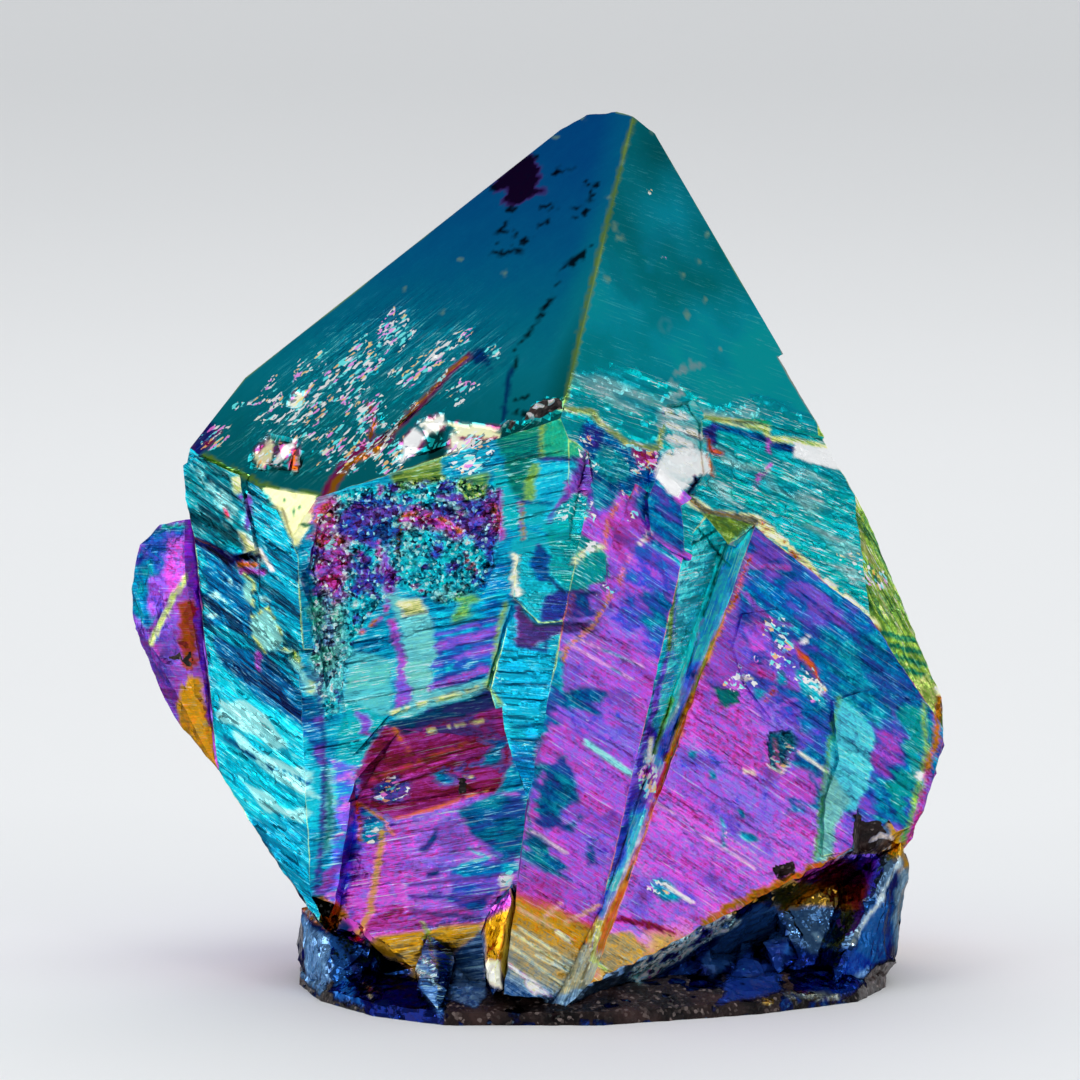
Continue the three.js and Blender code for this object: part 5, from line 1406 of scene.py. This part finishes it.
paint(None, [
    (.5, .36, .9, 34.4,28, 34,23.6, 33.2,20.6), (.9, .455, 1.1, 33.3,20.4, 32.6,17.4, 31.4,14),
    (.3, .87, 1, 32.6,19.4, 31.8,16.4, 30.8,14)
])
# Painted highlights: two white glints at the right edge.
spots([(32.4,20.4, .5,.4, 0), (34.4,29, .3,.6, 0)], ragged=0.3, film=WHITE, tone=1.3)

# ---- Side crystal, back and hidden sides: finish ----
# A small crystal stands out from the left side. The vapour reached it and the back in the same way
# as the front: teal and blue above, magenta below, gold at the foot.
finish("side_crystal", film=0.53, tone=0.95, gloss=0.65, lines=0.5, grit=0.3)
side = ["side_crystal"]
paint(side, [
    (0, .62, .95, -45,44.6, -41,45.4, -41,42, -44,40, -46,41),
    (0, .71, 1, -46.5,41, -44.4,42, -43.6,38, -44.6,34.6, -46.4,37),
    (0, .48, 1.15, -42.6,44, -40.8,44, -40.8,40, -42.4,38.4, -43.2,40),
    (0, .545, 1.25, -44.6,40, -42.8,40.6, -43,37.6, -44.6,36),
    (0, .52, .75, -44.4,33, -42,35, -41.4,30, -42,26.6, -43.6,29),
    (0, .39, .45, -41.6,37.6, -40,38, -39.8,31, -41.4,31),
    (0, .335, .93, -42,27, -41,30.4, -39.6,30, -38,25, -37.4,20.6, -40.6,23)
], ragged=.4)
paint(side, [
    (.5, .93, 1.2, -40.9,40.2, -42,38.4, -43.2,36, -44.4,33.6), (.4, .8, 1.4, -43.2,45.2, -41.2,45.3)
])
spots([(-41.2,32.1, .5,.6, 0)], bare=1)
rear = ["back", "back_right", "back_left", "side_right", "side_under", "under_left"]
finish(*rear, gloss=0.68, lines=0.9, grit=0.4)
swell = spot_place[:, 2] + 9 * rough(spot_place, 16, 43) + 3 * drift_2d(spot_u / 7, spot_v / 1.4, 44)
rear_film = np.interp(swell, (1, 5, 10, 15, 24, 34, 44, 58), (0.3, 0.335, 0.44, 0.48, 0.53, 0.6, 0.68, 0.77))
hidden = of_part(*rear) & ~spot_seen
patchy = smooth(0.12, 0.17, rough(np.stack([spot_u / 2.2, spot_v, 0 * spot_u], axis=1), 4, 45))
blend_in(hidden * 1.0, dict(film=rear_film + 0.07 * patchy, tone=1.1 - 0.25 * patchy))
rear_tips = of_part("tip_back_left", "tip_back_right", "shoulder_left")
blend_in(rear_tips * 1.0, dict(tone=0.8 + 0.2 * haze_cloud, gloss=0.88, lines=0.25))
spots([(14,60, 3.5,1.6, 30), (24,52, 2,3, 0), (3,66, 2,1, 20), (-8,58, 3,1.4, -30)], sheet="back",
      soft=0.6, flakes=0.45)

# ---- Mottling of every face ----
# The film settled unevenly: magenta faces carry blue-violet frost drawn out along the growth lines,
# blue faces drift between azure and violet, and the crystal bed is a mix of all colours, with some
# clusters painted pale and light as highlights and others painted dark as shade between crystals.
streaky = 0.55 * drift_2d(spot_u / 3.2, spot_v / 0.9, 37) + 0.45 * drift_2d(spot_u / 1.1, spot_v / 0.4, 38)
cloudy = rough(spot_place, 2.2, 39)
columns = of_part("face_d", "face_e", "face_b", "side_crystal", *rear)
settled = layers["film"]
pinkish = columns & (settled > 0.44) & (settled < 0.56)
bluish = columns & (settled >= 0.56) & (settled < 0.72)
frost_film = 0.53 + 0.09 * smooth(0.0, 0.5, cloudy)
blend_in(pinkish * 0.66 * smooth(0.0, 0.25, streaky + 0.5 * cloudy), dict(film=frost_film, grit=0.9))
blend_in(pinkish * 0.4 * smooth(0.1, 0.3, -streaky), dict(film=0.48))
blend_in(bluish * 0.8 * smooth(0.1, 0.35, streaky), dict(film=settled + 0.06))
blend_in(bluish * 0.7 * smooth(0.1, 0.35, -streaky + 0.3 * cloudy), dict(film=settled - 0.07))
bed = smooth(1.0, 1.5, layers["grit"])
bunch = rough(spot_place, 1.3, 40)
blend_in(bed * smooth(0.2, 0.35, bunch), dict(film=0.585, tone=0.9))
# Painted highlights and shade on the crystal bed: pale, light clusters and dark ones.
blend_in(bed * smooth(0.3, 0.45, -bunch) * 0.8, dict(film=0.8, pale=0.4, tone=1.6))
blend_in(bed * smooth(0.45, 0.5, rough(spot_place, 1.0, 41)), dict(film=0.455, tone=1.0))
blend_in(bed * smooth(0.3, 0.45, rough(spot_place, 0.8, 42)) * 0.8, dict(tone=0.25))
paint(["face_b"], [
    (0, .44, 1.1, -28.6,48, -26,48.6, -24.6,44, -25,38, -28,38.6, dict(strength=.55)),
    (0, .83, 1.6, -28,38, -25.4,38, -24.6,33, -25.4,28, -27.8,29, dict(strength=.4, pale=.5))
], ragged=.8, soft=.4)

# ---- Relief of every part ----
# Grown faces are built up of ledges and scales, broken rock of shells, and only ground faces are flat.
# Heights are in millimetres. The relief fades out towards the borders, so the faces still meet.
u, v, p = spot_u, spot_v, spot_place
small = layers["druse"]


def grown(bands=(), plates=(), grain=()):
    """The relief of a face: ledges of some height, width and seed, scales of some height, length,
    width and seed, and roughness of some height, size and seed, added up."""
    total = 0
    for height, width, seed in bands:
        total = total + height * ledges(u, v, width, seed)
    for height, long, wide, seed in plates:
        total = total + height * scales(u, v, long, wide, seed)
    for height, size, seed in grain:
        total = total + height * rough(p, size, seed)
    return total


raise_by = {
    "face_a": grown([(0.42, 3.4, 41), (0.16, 1.1, 42)], [(0.30, 5.0, 1.0, 43)]),
    "face_b": (1 - small) * grown([(0.34, 2.0, 44), (0.14, 0.8, 45)]),
    "face_c": grown([(0.20, 1.7, 46)], [(0.2, 3.0, 0.9, 47)]),
    "face_d": grown([(0.16, 2.6, 48), (0.07, 0.9, 49)], [(0.2, 4.0, 1.1, 50)]),
    "face_e": grown([(0.17, 2.8, 51), (0.07, 0.9, 52)], [(0.2, 4.5, 1.2, 53)]),
    "side_d": grown([(0.18, 1.5, 54)], [(0.15, 2.5, 0.8, 55)]),
    "wall_e": grown([], [(0.25, 2.0, 1.0, 56)], [(0.1, 1.2, 57)]),
    "etched_right": grown([], [(0.34, 1.9, 0.8, 58)], [(0.06, 3, 59)]),
    "side_crystal": grown([(0.4, 2.5, 60)], [(0.5, 3.2, 2.2, 61)]),
    "foot_rock": 0.9 * shells(p, 5.0, 62) + grown(grain=[(0.12, 1.2, 63)]),
    "foot_rim": grown(grain=[(0.4, 2.5, 64), (0.12, 0.9, 65)]),
    "end_e": 0.6 * shells(p, 4.0, 66) + grown(grain=[(0.25, 1.1, 67)]),
    "under_left": grown([], [(0.5, 5, 3, 68)], [(0.2, 2, 69)]),
    "ceiling_b": grown([(0.3, 1.4, 70)]),
    "violet": grown([(0.2, 1.2, 71)]),
}
rear_relief = grown([(0.4, 3.2, 72), (0.16, 1.3, 73)], [(0.35, 5.0, 1.5, 74)])
raise_by |= dict.fromkeys(("back", "back_right", "back_left", "side_right", "side_under"), rear_relief)
etched_relief = grown([], [(0.35, 2.6, 1.2, 75)], [(0.08, 3, 76)])
raise_by |= dict.fromkeys(("etched_back_left", "etched_back_right", "rim_right", "lime"), etched_relief)
for name, height in raise_by.items():
    where = spot_part == part_names.index(name)
    relief[where] = height[where]
crystals = 0.9 * scales(u, v, 1.5, 1.1, 77) + 0.35 * rough(p, 0.9, 78)
etched = 0.3 * scales(u, v, 1.9, 0.8, 79)
ground = np.isin(spot_part, numbers_of("tip_left", "tip_right"))
relief += small * np.where(ground, etched, crystals) + layers["rise"]
relief[spot_part == STEP] = (0.12 * rough(p, 1.0, 80))[spot_part == STEP]
relief *= smooth(0.0, 0.55, spot_gap)

# Borders wander a little, except along ground and sawn faces, where they stay in the face.
GROWN_WEAR, BROKEN_WEAR, RIM_WEAR = 0.09, 0.2, 0.12
WEAR_TO_WANDER = 1.6  # mm of wander for one of wear

wear = np.full(len(part_names), GROWN_WEAR)
level_parts = numbers_of(*GROUND_LEFT, *GROUND_RIGHT, "sawn")
wear[level_parts] = 0.0
wear[numbers_of("foot_rock", "end_e")] = BROKEN_WEAR
wear[numbers_of("foot_rim")] = RIM_WEAR
loose = np.zeros(len(points))
np.maximum.at(loose, spot_point, wear[spot_part])
on_border = np.zeros(len(points), bool)
on_border[spot_point[spot_gap == 0]] = True
shift = np.stack([rough(points, 1.1, 90 + k, 2) for k in range(3)], axis=1)
shift *= (loose * on_border * WEAR_TO_WANDER)[:, None]
relief /= np.bincount(spot_point)[spot_point]
for f in np.flatnonzero(np.isin(face_part, level_parts)):
    here = spot_point[(spot_face == f) & (spot_gap == 0)]
    shift[here] -= (shift[here] @ face_normal[f])[:, None] * face_normal[f]
np.add.at(shift, spot_point, relief[:, None] * face_normal[spot_face])
fine_points = points + shift
fine_points[:, 2] = np.maximum(fine_points[:, 2], 0)

# ---- Crystal mesh ----
# The fine mesh with its relief, with its edges marked sharp where facets meet. Film, tone and
# the other finishes are kept on it as attributes, and the growth directions as a map in millimetres.
CREASE = math.cos(math.radians(30))

fine_triangles = spot_point[cut_triangles]
used, fine_triangles = np.unique(fine_triangles, return_inverse=True)
fine_triangles = fine_triangles.reshape(-1, 3)
fine_points = fine_points[used]
crystal_mesh = bpy.data.meshes.new("crystal")
crystal_mesh.from_pydata(fine_points * MM, [], fine_triangles)
crystal = bpy.data.objects.new("crystal", crystal_mesh)
bpy.context.scene.collection.objects.link(crystal)

layers["keen"] = spot_keen
layers["nook"] = spot_nook
corner_spot = cut_triangles.reshape(-1)
for name, values in layers.items():
    layer_field = crystal_mesh.attributes.new(name, "FLOAT", "CORNER")
    layer_field.data.foreach_set("value", values[corner_spot].astype(np.float32))
hue_field = crystal_mesh.attributes.new("hue", "FLOAT_COLOR", "CORNER")
hue_field.data.foreach_set("color", np.insert(hue, 3, 1, axis=1)[corner_spot].astype(np.float32).ravel())
growth_map = crystal_mesh.uv_layers.new(name="growth")
growth_uv = np.stack([spot_u + 13.7 * spot_parent, spot_v + 7.3 * spot_parent], axis=1)
growth_map.data.foreach_set("uv", growth_uv[corner_spot].astype(np.float32).ravel())

fine_normals, _, _ = triangle_shape(fine_points, fine_triangles)
_, fine_ends, fine_edge = side_pairs(fine_triangles)
owners = np.tile(np.arange(len(fine_triangles)), 3)[np.argsort(fine_edge, kind="stable")]
one_side, other_side = fine_normals[owners.reshape(-1, 2).T]
creased = (one_side * other_side).sum(axis=1) < CREASE
total = len(fine_points)
mesh_ends = np.zeros(len(crystal_mesh.edges) * 2, np.int64)
crystal_mesh.edges.foreach_get("vertices", mesh_ends)
mesh_ends = np.sort(mesh_ends.reshape(-1, 2), axis=1)
mesh_key = mesh_ends[:, 0] * total + mesh_ends[:, 1]
crease_key = (fine_ends[:, 0] * total + fine_ends[:, 1])[creased]
sharp = crystal_mesh.attributes.new("sharp_edge", "BOOLEAN", "EDGE")
sharp.data.foreach_set("value", np.isin(mesh_key, crease_key))

# ---- Coating: shared effects ----
# The film's colour depends on its thickness alone. Growth lines, the blocks between them and the
# small grains of the etched quartz show through it, so all coatings share these three patterns.


def group(name, inputs, outputs):
    """A shader node group with named inputs and outputs, and its two end nodes."""
    tree = bpy.data.node_groups.new(name, "ShaderNodeTree")
    for way, sockets in (("INPUT", inputs), ("OUTPUT", outputs)):
        for socket, kind in sockets.items():
            tree.interface.new_socket(socket, in_out=way, socket_type="NodeSocket" + kind)
    return tree, tree.nodes.new("NodeGroupInput").outputs, tree.nodes.new("NodeGroupOutput").inputs


def calc(tree, operation, *values, clamp=False):
    """A number worked out from others by a Math node."""
    props = {"operation": operation, "use_clamp": clamp}
    return add(tree, "Math", *values, props=props).outputs[0]


def vector_calc(tree, operation, *values, **named):
    """A vector worked out from others by a Vector Math node."""
    return add(tree, "VectorMath", *values, props={"operation": operation}, **named).outputs[0]


def make_film_colours():
    """Film thickness to colour."""
    tree, given, made = group("film_colours", {"Film": "Float"}, {"Colour": "Color"})
    ramp = add(tree, "ValToRGB", given["Film"])
    stops = ramp.color_ramp.elements
    stops[0].position, stops[0].color = FILM_COLOURS[0][0], linear(*FILM_COLOURS[0][1])
    stops[1].position, stops[1].color = FILM_COLOURS[-1][0], linear(*FILM_COLOURS[-1][1])
    for place, colour in FILM_COLOURS[1:-1]:
        stops.new(place).color = linear(*colour)
    tree.links.new(ramp.outputs[0], made["Colour"])
    return tree


def about(tree, value, amount):
    """A number 0..1 made to swing about zero, by half the amount each way."""
    return calc(tree, "MULTIPLY", calc(tree, "SUBTRACT", value, 0.5), amount)


def make_growth_lines():
    """Growth lines and growth blocks on a map in millimetres. Noise squeezed along the lines gives
    hair lines. Blocks are rows of one width, cut at random lengths; each has a number and a tilt."""
    tree, given, made = group(
        "growth_lines", {"Map": "Vector", "Length": "Float", "Width": "Float", "Bend": "Float"},
        {"Hair": "Float", "Block": "Float", "Tilt": "Vector"},
    )
    place = add(tree, "SeparateXYZ", given["Map"])
    x = calc(tree, "DIVIDE", place.outputs[0], given["Length"])
    y = calc(tree, "DIVIDE", place.outputs[1], given["Width"])
    even = add(tree, "CombineXYZ", x, y).outputs[0]
    hair = add(tree, "TexNoise", Vector=even, Scale=2.2, Detail=3.0, Roughness=0.65,
               props={"noise_dimensions": "2D"})
    slow = add(tree, "CombineXYZ", x, calc(tree, "MULTIPLY", y, 0.3)).outputs[0]
    wave = add(tree, "TexNoise", Vector=slow, Scale=1.1, Detail=2.0, props={"noise_dimensions": "2D"})
    wave = calc(tree, "MULTIPLY", about(tree, wave.outputs[0], 1.0), given["Bend"])
    bent = calc(tree, "ADD", y, wave)
    row = calc(tree, "FLOOR", bent)
    start = add(tree, "TexWhiteNoise", W=row, props={"noise_dimensions": "1D"}).outputs["Value"]
    along = calc(tree, "MULTIPLY_ADD", start, 9.0, x)
    column = calc(tree, "FLOOR", calc(tree, "MULTIPLY_ADD", y, 0.12, along))
    number = add(tree, "CombineXYZ", column, row).outputs[0]
    block = add(tree, "TexWhiteNoise", number, props={"noise_dimensions": "2D"})
    tilt = vector_calc(tree, "SUBTRACT", block.outputs["Color"], (0.5, 0.5, 0.5))
    tree.links.new(hair.outputs[0], made["Hair"])
    tree.links.new(block.outputs["Value"], made["Block"])
    tree.links.new(tilt, made["Tilt"])
    return tree


def make_grains():
    """Small grains in space: a number and a tilt for each grain, and a height that falls towards
    its rim."""
    tree, given, made = group(
        "grains", {"Place": "Vector", "Per unit": "Float"},
        {"Grain": "Float", "Hue": "Float", "Tilt": "Vector", "Height": "Float"},
    )
    grains = add(tree, "TexVoronoi", Vector=given["Place"], Scale=given["Per unit"])
    numbers = add(tree, "SeparateXYZ", grains.outputs["Color"]).outputs
    tree.links.new(numbers[0], made["Grain"])
    tree.links.new(numbers[1], made["Hue"])
    tilt = vector_calc(tree, "SUBTRACT", grains.outputs["Color"], (0.5, 0.5, 0.5))
    tree.links.new(tilt, made["Tilt"])
    tree.links.new(calc(tree, "SUBTRACT", 1.0, grains.outputs["Distance"]), made["Height"])
    return tree


film_colours = make_film_colours()
growth_lines = make_growth_lines()
grains = make_grains()


def use(tree, shared, **values):
    """Places a node group in a material, with its own values."""
    node = tree.nodes.new("ShaderNodeGroup")
    node.node_tree = shared
    for key, value in values.items():
        key = key.replace("_", " ")
        if isinstance(value, bpy.types.NodeSocket):
            tree.links.new(value, node.inputs[key])
        else:
            node.inputs[key].default_value = value
    return node.outputs


# ---- Coating and bare stone ----
# The titanium film is metal on quartz: it shines like tinted foil, thinner and golden on edges.
# Growth lines and grains shift its thickness and the way each little block faces, and paint it
# lighter or darker, as painted light and shade on each block.


def coating(name, film_shift, tone_shift, tilt, line_height, grain_height, edge_width, haze):
    """The coated stone. Shifts say how much lines, blocks and grains change film and tone, the
    latter as painted light and shade; tilt is how far blocks lean, the heights (mm) are those of the
    lines and grains, and the edge width (mm) is that of the worn edges."""
    material = bpy.data.materials.new(name)
    material.use_nodes = True
    tree = material.node_tree
    surface = tree.nodes["Principled BSDF"]

    def field(layer):
        return add(tree, "Attribute", props={"attribute_name": layer}).outputs["Fac"]

    def ramp(value, low, high):
        return add(tree, "MapRange", value, low, high, 0.0, 1.0).outputs[0]

    def mixed(share, first, second):
        mix = add(tree, "Mix", share, props={"data_type": "RGBA"})
        for socket, given in ((mix.inputs[6], first), (mix.inputs[7], second)):
            if isinstance(given, bpy.types.NodeSocket):
                tree.links.new(given, socket)
            else:
                socket.default_value = given
        return mix.outputs[2]

    def product(*values):
        total = values[0]
        for value in values[1:]:
            total = calc(tree, "MULTIPLY", total, value)
        return total

    def plus(first, second):
        return calc(tree, "ADD", first, second)

    def larger(first, second, **named):
        return calc(tree, "MAXIMUM", first, second, **named)

    def scaled(value, factor, more, **named):
        return calc(tree, "MULTIPLY_ADD", value, factor, more, **named)

    def swing(value, amount):
        return about(tree, value, amount)

    growth = add(tree, "UVMap", props={"uv_map": "growth"}).outputs[0]
    place = add(tree, "TexCoord").outputs["Object"]
    fine = use(tree, growth_lines, Map=growth, Length=4.5, Width=0.34, Bend=1.2)
    wide = use(tree, growth_lines, Map=growth, Length=9.0, Width=1.1, Bend=0.7)
    grit = use(tree, grains, Place=place, Per_unit=3300.0)
    chips = use(tree, grains, Place=place, Per_unit=1500.0)
    lines, grit_amount = field("lines"), field("grit")
    cloud = add(tree, "TexNoise", Vector=place, Scale=300.0, Detail=4.0, Roughness=0.6).outputs[0]
    slow = add(tree, "TexNoise", Vector=place, Scale=110.0, Detail=2.0).outputs[0]

    glint_hairlines = use(tree, growth_lines, Map=growth, Length=16.0, Width=0.45, Bend=0.0)
    streaks = plus(swing(fine["Hair"], 2.2), swing(wide["Block"], 0.7))
    streaks = plus(streaks, swing(fine["Block"], 0.6))
    streaks = product(streaks, lines)
    speck = plus(swing(grit["Grain"], 1.1), swing(chips["Grain"], 0.7))
    speck = product(speck, grit_amount)

    plain = field("film")
    film = scaled(streaks, film_shift, plain)
    film = scaled(speck, film_shift, film)
    film = plus(film, swing(cloud, 0.6 * film_shift))
    turned = vector_calc(tree, "SUBTRACT", use(tree, film_colours, Film=film)["Colour"],
                         use(tree, film_colours, Film=plain)["Colour"])
    hue_layer = add(tree, "Attribute", props={"attribute_name": "hue"}).outputs["Color"]
    colour = vector_calc(tree, "ADD", hue_layer, turned)
    colour = vector_calc(tree, "MAXIMUM", colour, (0.0, 0.0, 0.0))

    # Lavender frost in small streaks on the magenta faces.
    frosting = use(tree, growth_lines, Map=growth, Length=1.7, Width=0.9, Bend=2.0)
    rose = product(ramp(plain, 0.455, 0.475), ramp(plain, 0.57, 0.55))
    frosting = product(ramp(plus(frosting["Hair"], swing(slow, 0.5)), 0.46, 0.6), rose)
    colour = mixed(product(frosting, 0.62), colour, linear(112, 112, 224))

    # Worn edges: teal turns pale yellow there, magenta turns orange, and the edges are painted a
    # little lighter as a highlight.
    reach = plus(field("keen"), swing(cloud, -1.4 * edge_width))
    reach = plus(reach, product(ramp(slow, 0.62, 0.38), edge_width))
    edge = ramp(reach, edge_width, 0.3 * edge_width)
    worn = scaled(ramp(plain, 0.24, 0.27), 0.15, 0.22)
    worn = scaled(ramp(plain, 0.64, 0.67), 0.55, worn)
    colour = mixed(product(edge, 0.7), colour, use(tree, film_colours, Film=worn)["Colour"])

    # Painted highlights: a few hair lines and grains are painted nearly white, lighter and less
    # metallic, as glints.
    glint = product(ramp(fine["Hair"], 0.60, 0.68), ramp(wide["Block"], 0.5, 0.54), lines)
    glint = product(glint, ramp(plain, 0.5, 0.72))
    thin = product(ramp(glint_hairlines["Hair"], 0.64, 0.68), lines, 0.6)
    bright = larger(glint, thin, clamp=True)
    bed = ramp(grit_amount, 0.9, 1.4)
    sparkle = product(ramp(grit["Grain"], 0.86, 0.9), bed)
    colour = mixed(product(bright, 0.7), colour, linear(180, 240, 242))
    colour = mixed(product(sparkle, 0.35), colour, linear(190, 250, 236))

    # Flakes of film that lift, painted as glints: pale blue, white, yellow or rose, and some dark teal,
    # all lighter and less metallic than the film around them.
    drawn_out = vector_calc(tree, "MULTIPLY", growth, (0.8, 2.0, 0.0))
    slivers = use(tree, grains, Place=drawn_out, Per_unit=1.6)
    flake_and_glint = plus(field("flakes"), swing(cloud, 1.6))
    flake_and_glint = product(ramp(flake_and_glint, 0.33, 0.37), ramp(slivers["Grain"], 0.46, 0.48),
                    ramp(grit["Grain"], 0.2, 0.25))
    kinds = add(tree, "ValToRGB", slivers["Hue"])
    kinds.color_ramp.interpolation = "CONSTANT"
    kinds.color_ramp.elements[0].color = linear(90, 205, 220)
    kinds.color_ramp.elements[1].position = 0.26
    kinds.color_ramp.elements[1].color = linear(4, 60, 84)
    for place_on_ramp, tint in ((0.44, (244, 248, 248)), (0.66, (236, 158, 84)), (0.78, (226, 110, 190)),
                                (0.9, (250, 236, 190))):
        kinds.color_ramp.elements.new(place_on_ramp).color = linear(*tint)
    colour = mixed(product(flake_and_glint, 0.85), colour, kinds.outputs[0])

    # Painted light and shade: lines, blocks and grains make the colour lighter or darker, as their small
    # faces would catch or miss the light; glints, sparkle and flakes are painted lighter still.
    shade = scaled(streaks, tone_shift, 1.0)
    uneven = scaled(bed, 0.7 * tone_shift, 0.35 * tone_shift)
    shade = scaled(speck, uneven, shade)
    shade = plus(larger(shade, 0.12), product(bright, 0.4))
    shade = plus(shade, larger(product(sparkle, 0.4), product(flake_and_glint, 0.7)))
    # Painted highlight: worn edges are a quarter lighter.
    shade = scaled(edge, 0.25, shade)
    # Painted shade: near a hollow edge, where two parts meet in a nook, the colour is darkened to about half.
    nook = ramp(calc(tree, "SUBTRACT", field("nook"), swing(cloud, 0.3)), 0.0, 0.3)
    shade = product(shade, scaled(nook, 0.55, 0.45), field("tone"))
    tinted = vector_calc(tree, "SCALE", colour, Scale=shade)
    tinted = vector_calc(tree, "MINIMUM", tinted, (0.97, 0.97, 0.97))

    bare_edge = plus(field("bare"), swing(cloud, 1.2))
    bare = ramp(bare_edge, 0.56, 0.64)
    stone = mixed(ramp(cloud, 0.42, 0.7), linear(10, 6, 7), linear(58, 40, 38))
    stone = mixed(product(calc(tree, "POWER", grit["Grain"], 14.0), 0.35), stone, linear(190, 170, 164))
    tree.links.new(mixed(bare, tinted, stone), surface.inputs["Base Color"])
    scattering = larger(field("frost"), product(bright, 0.5))
    scattering = larger(scattering, product(flake_and_glint, 0.7))
    scattering = larger(product(scattering, 0.8), bare)
    tree.links.new(calc(tree, "SUBTRACT", 1.0, scattering), surface.inputs["Metallic"])

    dull = calc(tree, "SUBTRACT", 1.0, field("gloss"))
    dull = plus(dull, swing(cloud, haze))
    dull = scaled(bare, 0.15, dull, clamp=True)
    tree.links.new(dull, surface.inputs["Roughness"])

    facing = add(tree, "NewGeometry").outputs["Normal"]
    for leaning, amount in ((fine["Tilt"], product(lines, tilt)), (wide["Tilt"], product(lines, tilt)),
                            (grit["Tilt"], product(grit_amount, 1.3 * tilt)),
                            (chips["Tilt"], product(grit_amount, 0.8 * tilt))):
        facing = vector_calc(tree, "ADD", facing, vector_calc(tree, "SCALE", leaning, Scale=amount))
    facing = vector_calc(tree, "NORMALIZE", facing)
    height = product(fine["Hair"], lines, line_height)
    height = plus(height, product(grit["Height"], grit_amount, grain_height))
    bump = add(tree, "Bump", Strength=1.0, Distance=MM, Height=height, Normal=facing)
    tree.links.new(bump.outputs[0], surface.inputs["Normal"])
    surface.inputs["Specular Tint"].default_value = (0.25, 0.25, 0.25, 1)
    surface.inputs["Coat Weight"].default_value = 0.05
    surface.inputs["Coat Roughness"].default_value = 0.06
    return material


coatings = [
    coating("ground_coating", 0.04, 0.6, 0.15, 0.02, 0.02, 0.26, 0.05),
    coating("grown_coating", 0.05, 0.95, 0.30, 0.06, 0.06, 0.16, 0.15),
    coating("broken_coating", 0.03, 0.9, 0.20, 0.03, 0.05, 0.12, 0.1),
]
BROKEN = ("foot_rock", "foot_rim", "end_e", "sawn")
for material in coatings:
    crystal_mesh.materials.append(material)
coating_of_part = np.ones(len(part_names), np.int32)
coating_of_part[numbers_of(*GROUND_LEFT, *GROUND_RIGHT)] = 0
coating_of_part[numbers_of(*BROKEN)] = 2
triangle_part = spot_parent[cut_triangles[:, 0]]
crystal_mesh.polygons.foreach_set("material_index", coating_of_part[triangle_part])
crystal_mesh.update()

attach(crystal, "root")
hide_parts("crystal_point")
